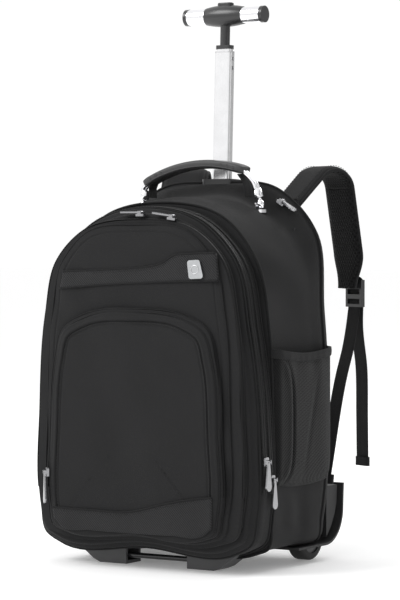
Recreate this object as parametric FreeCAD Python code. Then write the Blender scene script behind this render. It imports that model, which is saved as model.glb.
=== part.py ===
"""Wheeled laptop backpack: soft body on a moulded base, three-stage trolley, two shoulder straps.

Lengths are millimetres. X runs to the right seen from the front, Y runs to the back, Z is up.
Every place below is measured from the middle of the bag's body; put() moves it to the middle of
the whole footprint on the floor, straps included.
"""
import FreeCAD, Part
import math
import os

os.makedirs("parts", exist_ok=True)
V = FreeCAD.Vector
X_AXIS, Y_AXIS, Z_AXIS = V(1, 0, 0), V(0, 1, 0), V(0, 0, 1)

# ---- overall size -------------------------------------------------------------------------
FRONT_Y = -120.8            # front face of the lower trim band
FOOTPRINT = (-122.52, 251.33)       # foremost zip pull and rearmost bow of the webbing tails
SHIFT = V(0, -sum(FOOTPRINT) / 2, 0)
WALL = 3.0                  # padded cloth wall of the shells

# ---- soft body: arched outlines, as the ends and middles of three arcs up the right side ---
# order: bottom corner start, middle, end; side middle, end; shoulder middle, end; then the top
MAIN_FRONT = ((140, 24), (156, 31), (161, 60), (162, 200), (157, 303), (139, 388), (94, 440))
MAIN_FRONT_TOP = 462
MAIN_MIDDLE = ((138, 24), (153, 30), (159, 59), (163, 205), (157, 312), (141, 408), (90, 454))
MAIN_MIDDLE_TOP = 474
MAIN_ZIP = ((137, 24), (152, 30), (158, 58), (163, 208), (158, 317), (143, 420), (90, 468))
MAIN_ZIP_TOP = 482
MAIN_REAR = ((136, 24), (150, 30), (156, 58), (163, 210), (157, 322), (144, 432), (90, 482))
MAIN_REAR_TOP = 490
SECOND = ((134, 26), (156, 38), (164, 72), (165.5, 190), (154, 300), (135, 392), (88, 438))
SECOND_TOP = 456
SECOND_FRONT = ((126, 32), (148, 44), (156, 76), (158, 190), (147, 300), (128, 388), (84, 430))
SECOND_FRONT_TOP = 447
FRONT_REAR = ((118, 38), (142, 48), (150, 78), (151, 200), (142, 320), (126, 386), (84, 427))
FRONT_REAR_TOP = 441
FRONT_FACE = ((108, 42), (128, 50), (135, 78), (136, 200), (129, 322), (114, 386), (78, 424))
FRONT_FACE_TOP = 434
POCKET_REAR = ((104, 44), (122, 52), (128, 76), (127, 170), (120, 264), (108, 303), (76, 321))
POCKET_REAR_TOP = 329
POCKET_FACE = ((100, 46), (117, 54), (123, 78), (122, 170), (115, 262), (103, 298), (74, 315))
POCKET_FACE_TOP = 323

MAIN_Y = (-48.0, 50.0, 62.0, 78.0, 92.0, 110.0)
SECOND_Y = (-96.0, -82.0, -48.3)
FRONT_COMPARTMENT_Y = (-108.0, -102.5, -96.3)
POCKET_Y = (-118.0, -113.5, -108.3)

# ---- trolley ------------------------------------------------------------------------------
LEAN = 2.2                  # the post leans back, degrees
POST = V(0, 100, 490)       # the post's axis where it leaves the bag
OUTER_TUBE = (30.0, 17.0, 1.2)      # width, depth, wall
MIDDLE_TUBE = (26.0, 13.6, 1.1)
INNER_TUBE = (22.4, 10.4, 1.0)
OUTER_BOTTOM, OUTER_TOP = -452.0, -2.0     # along the post, from POST
MIDDLE_BOTTOM, MIDDLE_TOP = -228.0, 171.0
INNER_BOTTOM, INNER_TOP = -200.0, 176.0
GRIP_Z = 220.0              # middle of the cross grip, along the post
GRIP_LENGTH, GRIP_R, BARREL_R, BARREL_LENGTH = 121.0, 10.6, 12.5, 56.0
STEM_R = 6.5

# ---- wheels and base ----------------------------------------------------------------------
WHEEL_R, WHEEL_WIDTH, WHEEL_X = 31.0, 22.0, 125.0
WHEEL_Y = 102.0
AXLE_R = 4.0
RUNNING_FIT = 0.05
HOUSING_R = 36.0            # clear radius round the wheel
SCREW_PLACES = ((72, 38), (72, 80), (-72, 38), (-72, 80))
SCREW_R = 1.5

# ---- carry handle and straps --------------------------------------------------------------
HANDLE_PIVOT = V(0, 47, 459)
HANDLE_BALL_X = 91.0
HANDLE_BALL_R = 4.8
ANCHOR_R = 8.0
STRAP_ROOT = V(75, 112, 455)
STRAP_WIDTH, STRAP_THICK, STRAP_SPLAY = 58.0, 12.0, 24.0
WEBBING_WIDTH, WEBBING_THICK = 25.0, 2.0


def put(node, shape):
    """Move a piece from the bag's middle to the footprint's middle and write it."""
    moved = shape.copy()
    moved.translate(SHIFT)
    moved.exportStep(f"parts/{node}.step")


def block(x0, x1, y0, y1, z0, z1):
    return Part.makeBox(x1 - x0, y1 - y0, z1 - z0, V(x0, y0, z0))


def rod(radius, start, axis, length):
    return Part.makeCylinder(radius, length, start, axis)


def mirrored(shape):
    return shape.mirror(V(0, 0, 0), X_AXIS)


def joined(shapes):
    """One solid from overlapping ones."""
    return shapes[0].multiFuse(shapes[1:]).removeSplitter() if len(shapes) > 1 else shapes[0]


def group(shapes):
    """Separate solids kept in one node."""
    return Part.makeCompound(shapes)


def softened(shape, radius, wanted):
    """Round the edges that the test picks."""
    edges = [edge for edge in shape.Edges if wanted(edge)]
    return shape.makeFillet(radius, edges)


def outline(y, side, top, grow=0.0):
    """Closed arch in the plane Y = y: a bottom line, corner, side and shoulder arcs, a top arc.

    grow moves it outwards by scaling it about its own middle."""
    widest = max(x for x, _ in side)
    low = side[0][1]
    middle = (low + top) / 2
    wide, tall = 1 + grow / widest, 1 + grow / (top - middle)
    right = [V(x * wide, y, middle + (z - middle) * tall) for x, z in side]
    left = [V(-p.x, p.y, p.z) for p in right]
    crown = V(0, y, middle + (top - middle) * tall)
    edges = [Part.LineSegment(left[0], right[0]).toShape()]
    for i in (0, 2, 4):
        edges.append(Part.Arc(right[i], right[i + 1], right[i + 2]).toShape())
    edges.append(Part.Arc(right[6], crown, left[6]).toShape())
    for i in (6, 4, 2):
        edges.append(Part.Arc(left[i], left[i - 1], left[i - 2]).toShape())
    return Part.Wire(edges)


def arch_solid(sections):
    """Solid through arched outlines, each given as (y, side, top, grow)."""
    return Part.makeLoft([outline(*section) for section in sections], True, True)


def hollow(sections):
    """Closed cloth shell: the outer solid less one a wall's thickness smaller all round."""
    inner = [list(section) for section in sections]
    for section in inner:
        section[3] -= WALL
    inner[0][0] += WALL
    inner[-1][0] -= WALL
    return arch_solid(sections).cut(arch_solid(inner))


def rim(y0, y1, side, top, low, high, above):
    """Thin strip lying on an arch's edge, kept above the height given."""
    strip = arch_solid([(y0, side, top, high), (y1, side, top, high)])
    strip = strip.cut(arch_solid([(y0 - 1, side, top, low), (y1 + 1, side, top, low)]))
    return strip.cut(block(-300, 300, y0 - 2, y1 + 2, -10, above))


def band(points, radii, width, lift):
    """Flat closed face along a path of straight runs and arcs in a plane.

    points are the path's corners, radii the arcs at the inner ones, width the band's width;
    lift turns a plane point (a, b) into a place."""
    stations = []
    for i, (a, b) in enumerate(points):
        if i in (0, len(points) - 1):
            other = points[1] if i == 0 else points[-2]
            sign = 1 if i == 0 else -1
            run = (sign * (other[0] - a), sign * (other[1] - b))
            size = math.hypot(*run)
            stations.append(((a, b), (-run[1] / size, run[0] / size)))
            continue
        before, after = points[i - 1], points[i + 1]
        into = (a - before[0], b - before[1])
        out = (after[0] - a, after[1] - b)
        l_in, l_out = math.hypot(*into), math.hypot(*out)
        into = (into[0] / l_in, into[1] / l_in)
        out = (out[0] / l_out, out[1] / l_out)
        cross = into[0] * out[1] - into[1] * out[0]
        turn = math.atan2(cross, into[0] * out[0] + into[1] * out[1])
        reach = radii[i - 1] * math.tan(abs(turn) / 2)
        side = 1 if turn > 0 else -1
        start = (a - into[0] * reach, b - into[1] * reach)
        centre = (start[0] - side * into[1] * radii[i - 1], start[1] + side * into[0] * radii[i - 1])
        for part_turn in (0, 0.5, 1):
            angle = turn * part_turn
            along = (into[0] * math.cos(angle) - into[1] * math.sin(angle),
                     into[0] * math.sin(angle) + into[1] * math.cos(angle))
            normal = (-along[1], along[0])
            place = (centre[0] - side * normal[0] * radii[i - 1],
                     centre[1] - side * normal[1] * radii[i - 1])
            stations.append((place, normal))

    def edge_run(half):
        spots = [lift(p[0] + half * n[0], p[1] + half * n[1]) for p, n in stations]
        run = []
        spot = spots[0]
        for corner in range(len(points) - 2):
            first, middle, last = spots[1 + 3 * corner:4 + 3 * corner]
            run.append(Part.LineSegment(spot, first).toShape())
            run.append(Part.Arc(first, middle, last).toShape())
            spot = last
        run.append(Part.LineSegment(spot, spots[-1]).toShape())
        return run, spots[0], spots[-1]

    upper, upper_start, upper_end = edge_run(width / 2)
    lower, lower_start, lower_end = edge_run(-width / 2)
    caps = [Part.LineSegment(upper_end, lower_end).toShape(),
            Part.LineSegment(lower_start, upper_start).toShape()]
    wire = Part.Wire(Part.__sortEdges__(upper + lower + caps))
    return Part.Face(wire)


def face_xz(y):
    return lambda a, b: V(a, y, b)


def face_yz(x):
    return lambda a, b: V(x, a, b)


def face_xy(z):
    return lambda a, b: V(a, b, z)


def leaned(shape):
    """Stand a piece drawn along +Z from the origin on the leaning post axis."""
    moved = shape.copy()
    moved.rotate(V(0, 0, 0), X_AXIS, -LEAN)
    moved.translate(POST)
    return moved


def rounded_bar(width, depth, z0, z1, radius):
    bar = block(-width / 2, width / 2, -depth / 2, depth / 2, z0, z1)
    return softened(bar, radius, lambda edge: abs(edge.tangentAt(edge.FirstParameter).z) > 0.99)


def tube(size, z0, z1, radius):
    width, depth, wall = size
    outer = rounded_bar(width, depth, z0, z1, radius)
    bore = rounded_bar(width - 2 * wall, depth - 2 * wall, z0 - 1, z1 + 1, radius - wall)
    return outer.cut(bore)


def wheel_well(side):
    """Clear space round one wheel and its housing."""
    return rod(HOUSING_R + 2.3, V(side * WHEEL_X - 15.3, WHEEL_Y, WHEEL_R), X_AXIS, 30.6)


def both_wells():
    return wheel_well(1).fuse(wheel_well(-1))


# ---- soft body ------------------------------------------------------------------------------
def main_sections():
    sides = (MAIN_FRONT, MAIN_MIDDLE, MAIN_ZIP, MAIN_ZIP, MAIN_REAR, MAIN_REAR)
    tops = (MAIN_FRONT_TOP, MAIN_MIDDLE_TOP, MAIN_ZIP_TOP, MAIN_ZIP_TOP, MAIN_REAR_TOP, MAIN_REAR_TOP)
    return list(zip(MAIN_Y, sides, tops, (0, 0, 0, 0, 0, -13.0)))


def main_shell():
    """Main compartment with the trolley's channel, the wheel wells and seats for what is fixed to it."""
    shell = hollow(main_sections())
    for x, y in SCREW_PLACES:
        shell = shell.cut(rod(SCREW_R, V(x, y, 20), Z_AXIS, 10))
    for side in (1, -1):
        x = side * HANDLE_BALL_X
        shell = shell.cut(rod(ANCHOR_R + 0.1, V(x, HANDLE_PIVOT.y, 440), Z_AXIS, 30))
    channel = leaned(block(-15.5, 15.5, -9, 9, OUTER_BOTTOM - 6, 40))
    collar_seat = leaned(block(-25.2, 25.2, -16.2, 16.2, -9.2, 40))
    put("main_shell", shell.cut(channel).cut(collar_seat).cut(both_wells()))


def second_compartment():
    """Write the second compartment and give its zip tape."""
    sides = (SECOND_FRONT, SECOND, SECOND)
    tops = (SECOND_FRONT_TOP, SECOND_TOP, SECOND_TOP)
    put("second_compartment_shell", hollow(list(zip(SECOND_Y, sides, tops, (0, 0, 0)))))
    y0, y1 = SECOND_Y[1] + 2, SECOND_Y[2] - 1
    return rim(y0, y1, SECOND, SECOND_TOP, 0.1, 1.2, 80)


def front_compartment():
    """Write the front compartment and give its zip tape."""
    sides = (FRONT_FACE, FRONT_REAR, FRONT_REAR)
    tops = (FRONT_FACE_TOP, FRONT_REAR_TOP, FRONT_REAR_TOP)
    shell = hollow(list(zip(FRONT_COMPARTMENT_Y, sides, tops, (0, 0, 0))))
    put("front_compartment_shell", shell)
    y0, y1 = FRONT_COMPARTMENT_Y[1] + 0.3, FRONT_COMPARTMENT_Y[2] - 0.3
    return rim(y0, y1, FRONT_REAR, FRONT_REAR_TOP, 0.1, 1.2, 90)


def front_pocket():
    """Write the front pocket and give its zip tape."""
    sides = (POCKET_FACE, POCKET_REAR, POCKET_REAR)
    tops = (POCKET_FACE_TOP, POCKET_REAR_TOP, POCKET_REAR_TOP)
    put("front_pocket_shell", hollow(list(zip(POCKET_Y, sides, tops, (0, 0, 0)))))
    y0, y1 = POCKET_Y[1] + 0.2, POCKET_Y[2] - 0.3
    return rim(y0, y1, POCKET_REAR, POCKET_REAR_TOP, 0.1, 1.2, 90)


def laptop_zip():
    return rim(64, 76, MAIN_ZIP, MAIN_ZIP_TOP, 0.1, 1.2, 300)


def plate(corners, y0, y1):
    """Flat plate from its outline (x, z), standing from y0 to y1."""
    spots = [V(x, y0, z) for x, z in corners]
    face = Part.Face(Part.makePolygon(spots + spots[:1]))
    return face.extrude(V(0, y1 - y0, 0))


def trim_bands():
    upper = plate(((-116, 354), (126, 363), (120, 396), (76, 396), (50, 391), (24, 382), (-114, 377)),
                  FRONT_COMPARTMENT_Y[0] - 2.4, FRONT_COMPARTMENT_Y[0] - 0.1)
    put("upper_trim_band", upper)
    lower = plate(((-112, 52), (-100, 47), (100, 47), (112, 52), (119, 74), (119, 97), (88, 95),
                   (60, 91), (28, 80), (-6, 74), (-119, 73)), FRONT_Y, POCKET_Y[0] - 0.1)
    put("lower_trim_band", lower)
    badge = plate(((82, 366), (103, 367), (97, 390), (79, 389)),
                  FRONT_COMPARTMENT_Y[0] - 4.4, FRONT_COMPARTMENT_Y[0] - 2.5)
    badge = softened(badge, 3.5, lambda edge: abs(edge.tangentAt(edge.FirstParameter).y) > 0.99)
    put("badge_plate", badge)


def side_pockets():
    """Open-topped stretch pocket on each side, its hem band and its floor."""
    route = ((160, -46), (173, -34), (173, 82), (160, 100))
    radii = (12, 12)
    wall = band(route, radii, 1.5, face_xy(104)).extrude(V(0, 0, 172))
    floor = block(162, 171.5, -36, 84, 104, 106)
    floor = floor.fuse(wall).cut(arch_solid(main_sections()))
    hem_route = ((161, -48.5), (174.7, -35), (174.7, 83), (161, 102))
    hem = band(hem_route, radii, 1.5, face_xy(268)).extrude(V(0, 0, 10))
    put("side_pockets", group([floor, mirrored(floor)]))
    put("side_pocket_hems", group([hem, mirrored(hem)]))


def inner_panels():
    """What stands inside the main compartment."""
    put("back_frame_sheet", block(-132, 132, 62, 64, 62, 430))
    put("laptop_divider", block(-126, 126, 30, 36, 60, 330))
    put("bottom_board", block(-104, 104, -42, 56, 27.6, 30.6))


def back_pad():
    """Padded panel on the back, split by the trolley's channel."""
    sides = (MAIN_REAR, MAIN_REAR)
    tops = (MAIN_REAR_TOP, MAIN_REAR_TOP)
    pad = arch_solid(list(zip((110.3, 119.5), sides, tops, (-18.0, -26.0))))
    pad = pad.cut(block(-200, 200, 100, 130, -10, 104)).cut(block(-19, 19, 100, 130, 90, 500))
    tab_seat = block(127, 200, 100, 130, 90, 118)
    pad = pad.cut(tab_seat).cut(mirrored(tab_seat))
    put("back_pad", pad)


# ---- moulded base, wheels, feet ---------------------------------------------------------------
def base_guard():
    route = ((147, 98), (143, 22), (30, 22))
    guard = band(route, (44,), 3.0, face_yz(-157)).extrude(V(314, 0, 0))
    for x, y in SCREW_PLACES:
        guard = guard.cut(rod(SCREW_R, V(x, y, 15), Z_AXIS, 10))
    put("base_guard", guard.cut(both_wells()))
    corners = ((110.4, 30), (122, 42), (132, 58), (137, 72), (139, 96), (110.4, 96))
    spots = [V(-152, y, z) for y, z in corners]
    cover = Part.Face(Part.makePolygon(spots + spots[:1])).extrude(V(304, 0, 0))
    put("wheel_bay_cover", cover.cut(both_wells()))


def wheel(side):
    name = "right" if side > 0 else "left"
    inner = side * WHEEL_X - WHEEL_WIDTH / 2
    start = V(inner, WHEEL_Y, WHEEL_R)
    hub = rod(22, start + V(2, 0, 0), X_AXIS, WHEEL_WIDTH - 4)
    hub = hub.fuse(rod(8, start, X_AXIS, WHEEL_WIDTH))
    hub = hub.cut(rod(AXLE_R + RUNNING_FIT, start - V(1, 0, 0), X_AXIS, WHEEL_WIDTH + 2))
    for turn in range(5):
        hole = rod(4.2, start + V(-1, 0, 14.5), X_AXIS, WHEEL_WIDTH + 2)
        hole.rotate(start, X_AXIS, 72 * turn)
        hub = hub.cut(hole)
    put(f"wheel_hub_{name}", hub)
    tyre = rod(WHEEL_R, start, X_AXIS, WHEEL_WIDTH)
    tyre = softened(tyre, 4, lambda edge: edge.Length > 100 and len(edge.Vertexes) == 1)
    put(f"tyre_{name}", tyre.cut(rod(22, start - V(1, 0, 0), X_AXIS, WHEEL_WIDTH + 2)))


def wheel_housing(side):
    centre = V(side * WHEEL_X, WHEEL_Y, WHEEL_R)
    shell = rod(HOUSING_R + 2, centre - V(15, 0, 0), X_AXIS, 30)
    shell = shell.cut(rod(HOUSING_R, centre - V(13, 0, 0), X_AXIS, 26))
    shell = shell.cut(block(-200, 200, 0, 200, -40, 19))
    return shell.cut(rod(AXLE_R, centre - V(20, 0, 0), X_AXIS, 40))


def axles():
    pins = []
    for side in (1, -1):
        centre = V(side * WHEEL_X, WHEEL_Y, WHEEL_R)
        pins.append(rod(AXLE_R, centre - V(14.8, 0, 0), X_AXIS, 29.6))
    put("axles", group(pins))


def feet():
    profile = ((46, 0), (86, 0), (96, 4), (122, 23.5), (46, 23.5))
    foot = plate(profile, -60, -26)
    foot = foot.cut(block(45, 60, -56, -30, 4, 19))
    foot = softened(foot, 2, lambda edge: abs(edge.tangentAt(edge.FirstParameter).y) > 0.99
                    and edge.BoundBox.ZMax < 8 and edge.BoundBox.XMin > 60)
    put("front_feet", group([foot, mirrored(foot)]))
    put("foot_rod", rod(3.5, V(-59.9, -51, 11), X_AXIS, 119.8))
    screws = []
    for x, y in SCREW_PLACES:
        head = rod(3, V(x, y, 19.4), Z_AXIS, 1)
        screws.append(head.fuse(rod(SCREW_R, V(x, y, 20.3), Z_AXIS, 7)))
    put("base_screws", group(screws))


# ---- trolley ----------------------------------------------------------------------------------
def outer_stage():
    put("trolley_outer_tube", leaned(tube(OUTER_TUBE, OUTER_BOTTOM, OUTER_TOP, 5.0)))
    collar = rounded_bar(50, 32, -9, 4, 9)
    collar = collar.cut(rounded_bar(30.2, 17.2, -10, OUTER_TOP, 5.1))
    collar = collar.cut(rounded_bar(27.2, 14.8, OUTER_TOP - 1, 5, 5.0))
    put("trolley_top_collar", leaned(collar))
    foot = block(-22, 22, -7, 7, OUTER_BOTTOM - 5, OUTER_BOTTOM)
    put("trolley_base_block", leaned(foot))


def middle_stage():
    middle = tube(MIDDLE_TUBE, MIDDLE_BOTTOM, MIDDLE_TOP, 4.6)
    for drop in (8, 20):
        middle = middle.cut(rod(2.4, V(8, 0, MIDDLE_TOP - drop), X_AXIS, 8))
    put("trolley_middle_tube", leaned(middle))
    width, depth, wall = MIDDLE_TUBE
    guide = rounded_bar(width + 0.8, depth + 0.3, MIDDLE_BOTTOM - 8, MIDDLE_BOTTOM, 4.8)
    put("middle_tube_guide", leaned(guide))
    lip = rounded_bar(width, depth, MIDDLE_TOP, MIDDLE_TOP + 2, 4.6)
    lip = lip.cut(rounded_bar(INNER_TUBE[0] + 0.8, INNER_TUBE[1] + 0.8, MIDDLE_TOP - 1, MIDDLE_TOP + 3, 4.2))
    put("middle_tube_lip", leaned(lip))


def inner_stage():
    put("trolley_inner_tube", leaned(tube(INNER_TUBE, INNER_BOTTOM, INNER_TOP, 4.0)))
    lock = rounded_bar(INNER_TUBE[0], INNER_TUBE[1], INNER_BOTTOM - 14, INNER_BOTTOM, 4.0)
    lock = lock.cut(rod(2.45, V(-4, 0, INNER_BOTTOM - 7), X_AXIS, 20))
    put("lock_pin_block", leaned(lock))
    pin = rod(2.4, V(2, 0, INNER_BOTTOM - 7), X_AXIS, 9.4)
    put("lock_pin", leaned(pin))


def barrel_profile(half, end_r, mid_r):
    """Round bar along X, thicker in the middle: an arc turned about the X axis."""
    arc = Part.Arc(V(-half, 0, end_r), V(0, 0, mid_r), V(half, 0, end_r)).toShape()
    sides = Part.makePolygon([V(half, 0, end_r), V(half, 0, 0), V(-half, 0, 0), V(-half, 0, end_r)])
    return Part.Face(Part.Wire([arc] + sides.Edges)).revolve(V(0, 0, 0), X_AXIS, 360)


def cross_grip():
    centre = V(0, 0, GRIP_Z)
    half = BARREL_LENGTH / 2
    barrel = barrel_profile(half, 11.4, 14.5)
    barrel.translate(centre)
    stem = rod(STEM_R, V(0, 0, INNER_TOP + 5), Z_AXIS, GRIP_Z - INNER_TOP - 15)
    flange = rounded_bar(24, 13, INNER_TOP, INNER_TOP + 5, 5)
    grip = joined([Part.Solid(barrel.Solids[0]), stem, flange])
    grip = grip.cut(rod(1.8, V(0, 0, INNER_TOP - 1), Z_AXIS, GRIP_Z - INNER_TOP + 10))
    grip = grip.cut(rounded_bar(24, 12, GRIP_Z + 5, GRIP_Z + 30, 5.9))
    put("grip_centre", leaned(grip))
    sleeves, caps = [], []
    for side in (1, -1):
        inner = side * half
        outer = side * (GRIP_LENGTH / 2 - 5)
        low, high = min(inner, outer), max(inner, outer)
        sleeve = rod(GRIP_R, V(low, 0, GRIP_Z), X_AXIS, high - low)
        sleeves.append(leaned(sleeve.cut(rod(GRIP_R - 2, V(low - 1, 0, GRIP_Z), X_AXIS, high - low + 2))))
        cap_low = outer if side > 0 else outer - 5
        cap = rod(GRIP_R + 0.4, V(cap_low, 0, GRIP_Z), X_AXIS, 5)
        cap = cap.fuse(rod(GRIP_R - 2, V(cap_low - 4, 0, GRIP_Z), X_AXIS, 13))
        cap = cap.common(rod(30, V(outer - 9 if side > 0 else outer - 5, 0, GRIP_Z), X_AXIS, 14))
        caps.append(leaned(cap))
    put("grip_sleeves", group(sleeves))
    put("grip_end_caps", group(caps))


def release_button():
    top = GRIP_Z + 17.5
    button = rounded_bar(23, 11, GRIP_Z + 10.5, top, 5.4)
    button = softened(button, 1.5, lambda edge: edge.BoundBox.ZMin > top - 0.01)
    low, high = INNER_BOTTOM + 6, GRIP_Z + 11
    button = button.fuse(rod(1.2, V(0, 0, low), Z_AXIS, high - low))
    put("release_button", leaned(button))


# ---- carry handle -----------------------------------------------------------------------------
def carry_handle():
    y = HANDLE_PIVOT.y
    route = ((-82, 489), (-5, 525), (68, 504))
    grip = band(route, (190,), 11, face_xz(y - 13)).extrude(V(0, 26, 0))
    grip = softened(grip, 3.5, lambda edge: edge.Length > 60)
    rods = []
    for side, (x, z) in ((1, (66.5, 503.5)), (-1, (80.5, 489.5))):
        ball = V(side * HANDLE_BALL_X, y, HANDLE_PIVOT.z)
        start = V(side * x, y, z)
        neck = V(side * 88.2, y, 468)
        knee = V(side * (x * 0.45 + 88.2 * 0.55), y, z * 0.45 + 468 * 0.55) + V(side * 3.0, 0, 2.4)
        path = Part.Wire([Part.Arc(start, knee, neck).toShape()])
        tangent = path.Edges[0].tangentAt(path.Edges[0].FirstParameter)
        section = Part.Wire([Part.Circle(start, tangent, 3.4).toShape()])
        bent = path.makePipeShell([section], True, True)
        stub = rod(3.0, neck, (ball - neck), (ball - neck).Length)
        whole = joined([bent, stub, Part.makeSphere(HANDLE_BALL_R, ball)])
        low = side * HANDLE_BALL_X - 6 if side > 0 else side * HANDLE_BALL_X - 2
        rods.append(whole.cut(rod(1.6, V(low, y, HANDLE_PIVOT.z), X_AXIS, 8)))
    put("carry_handle_rods", group(rods))
    put("carry_handle_grip", grip.cut(rods[0]).cut(rods[1]))
    webs = [band(((62, 498), (71, 484), (73, 472)), (8,), 2, face_xz(y - 8)).extrude(V(0, 16, 0)),
            band(((-72, 487), (-75, 480), (-74, 472)), (5,), 2, face_xz(y - 8)).extrude(V(0, 16, 0))]
    put("carry_handle_webbing", group([web.cut(grip) for web in webs]))
    anchors = []
    for side in (1, -1):
        disc = rod(ANCHOR_R, V(side * HANDLE_BALL_X, y, 449.5), Z_AXIS, 4)
        inner = side * (HANDLE_BALL_X - 5.5)
        outer = side * (HANDLE_BALL_X - 7.5)
        lug = block(min(inner, outer), max(inner, outer), y - 3, y + 3, 449.5, 462)
        pin_start = min(inner, side * (HANDLE_BALL_X + 1))
        pin = rod(1.5, V(pin_start, y, HANDLE_PIVOT.z), X_AXIS, 6.5)
        anchors.append(joined([disc, lug, pin]))
    put("carry_handle_anchors", group(anchors))


# ---- shoulder straps --------------------------------------------------------------------------
def ribbon(places, across, width, thick):
    """Flat strip through places, its width along one direction."""
    sections = []
    for i, place in enumerate(places):
        run = places[min(i + 1, len(places) - 1)] - places[max(i - 1, 0)]
        normal = across.cross(run)
        normal.normalize()
        half = across * (width / 2)
        deep = normal * (thick / 2)
        spots = [place - half - deep, place + half - deep, place + half + deep, place - half + deep]
        sections.append(Part.makePolygon(spots + spots[:1]))
    return Part.makeLoft(sections, True, True)


def splayed(shape):
    turned = shape.copy()
    turned.rotate(STRAP_ROOT, Z_AXIS, -STRAP_SPLAY)
    return turned


def behind(reach, z):
    """Place over the strap's middle line: reach is the distance back from its root."""
    turn = math.radians(STRAP_SPLAY)
    return V(STRAP_ROOT.x + reach * math.sin(turn), STRAP_ROOT.y + reach * math.cos(turn), z)


def shoulder_strap():
    route = ((110, 441), (208, 536), (233, 385), (229, 350))
    x0 = STRAP_ROOT.x - STRAP_WIDTH / 2
    pad = band(route, (28, 120), STRAP_THICK, face_yz(x0)).extrude(V(STRAP_WIDTH, 0, 0))
    pad = splayed(pad)
    pad = pad.cut(block(-300, 300, 0, 120.2, 0, 600))
    root = block(44, 106, 119.8, 124, 414, 438).cut(pad)
    lock_x0 = STRAP_ROOT.x - 17
    lock = block(lock_x0, lock_x0 + 34, 239.5, 245.5, 325, 361.5)
    lock = lock.cut(block(lock_x0 + 4, lock_x0 + 30, 238, 247, 329, 336))
    lock = lock.cut(block(lock_x0 + 4, lock_x0 + 30, 238, 247, 342, 349))
    lock = splayed(lock)
    across = V(math.cos(math.radians(STRAP_SPLAY)), -math.sin(math.radians(STRAP_SPLAY)), 0)
    webbing = ribbon([behind(129, 324.5), V(131.4, 208, 276), V(136, 179, 235), V(146, 117, 112)],
                     across, WEBBING_WIDTH, WEBBING_THICK)
    tail = ribbon([behind(133, 324.5), behind(134, 303), behind(141.5, 241), behind(142.5, 179),
                   behind(143.5, 124)], across, WEBBING_WIDTH, WEBBING_THICK)
    fold = ribbon([behind(143.5, 124), behind(143.5, 112)], across, WEBBING_WIDTH + 2, 6)
    tab = block(130, 158, 110.3, 119, 98, 111)
    pieces = (("shoulder_straps", pad), ("strap_root_patches", root), ("ladder_locks", lock),
              ("lower_webbings", webbing), ("webbing_tails", joined([tail, fold])),
              ("lower_strap_tabs", tab))
    for name, shape in pieces:
        put(name, group([shape, mirrored(shape)]))


# ---- zip sliders and pulls --------------------------------------------------------------------
SLIDER_PIN_OUT = 5.4        # pivot of a pull, out from the tape


def slider():
    """Zip slider on a surface facing +X with the zip along Z, the pull's pin along Y."""
    body = block(0.4, 3.4, -4.5, 4.5, -6, 6)
    body = softened(body, 2, lambda edge: abs(edge.tangentAt(edge.FirstParameter).x) > 0.99)
    lugs = [block(3.0, 7.0, y, y + 1.3, -2.6, 2.6) for y in (-4.4, 3.1)]
    return joined([body] + lugs + [rod(0.9, V(SLIDER_PIN_OUT, -4.3, 0), Y_AXIS, 8.6)])


def pull(length):
    """Teardrop pull hanging from the slider's pin: an eye, a neck and a round-ended plate."""
    eye = rod(1.9, V(SLIDER_PIN_OUT, -2.6, 0), Y_AXIS, 5.2)
    spots = [(-2.4, 0), (-2.4, -5), (-6, -length + 6)]
    right = [(-y, z) for y, z in reversed(spots)]
    x = SLIDER_PIN_OUT - 1.0
    points = [V(x, y, z) for y, z in spots]
    ends = [V(x, y, z) for y, z in right]
    edges = [Part.LineSegment(points[0], points[1]).toShape(),
             Part.LineSegment(points[1], points[2]).toShape(),
             Part.Arc(points[2], V(x, 0, -length), ends[0]).toShape(),
             Part.LineSegment(ends[0], ends[1]).toShape(), Part.LineSegment(ends[1], ends[2]).toShape(),
             Part.LineSegment(ends[2], points[0]).toShape()]
    tab = Part.Face(Part.Wire(edges)).extrude(V(2.0, 0, 0))
    return eye.fuse(tab).cut(rod(0.98, V(SLIDER_PIN_OUT, -5, 0), Y_AXIS, 10))


def zip_pair(name, place, turns, length=36.0):
    """Put one slider and its pull at a place, turned about Y and then about Z."""
    about_y, about_z = turns
    for node, shape in ((f"{name}_slider", slider()), (f"{name}_pull", pull(length))):
        shape.rotate(V(0, 0, 0), Y_AXIS, about_y)
        shape.rotate(V(0, 0, 0), Z_AXIS, about_z)
        shape.translate(place)
        put(node, shape)


def zip_pulls():
    zip_pair("main_upper", V(168.0, -73.5, 141), (0, 0))
    zip_pair("main_lower", V(168.0, -58.5, 118), (0, 0))
    zip_pair("front_left", V(4, -101.2, 443.6), (-90, 180), 30.0)
    zip_pair("front_right", V(50, -101.2, 438.9), (-98, 180), 30.0)
    zip_pair("pocket", V(-128.75, -113.75, 118), (0, 225), 40.0)
    zip_pair("laptop", V(105.8, 70, 460.6), (-56, 0), 24.0)


main_shell()
put("zip_tapes", group([second_compartment(), front_compartment(), front_pocket(), laptop_zip()]))
trim_bands()
side_pockets()
inner_panels()
back_pad()
base_guard()
wheel(1)
wheel(-1)
put("wheel_housings", group([wheel_housing(1), wheel_housing(-1)]))
axles()
feet()
outer_stage()
middle_stage()
inner_stage()
cross_grip()
release_button()
carry_handle()
shoulder_strap()
zip_pulls()
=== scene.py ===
"""Wheeled laptop backpack: cloth, webbing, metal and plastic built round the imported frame."""
import math

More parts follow.
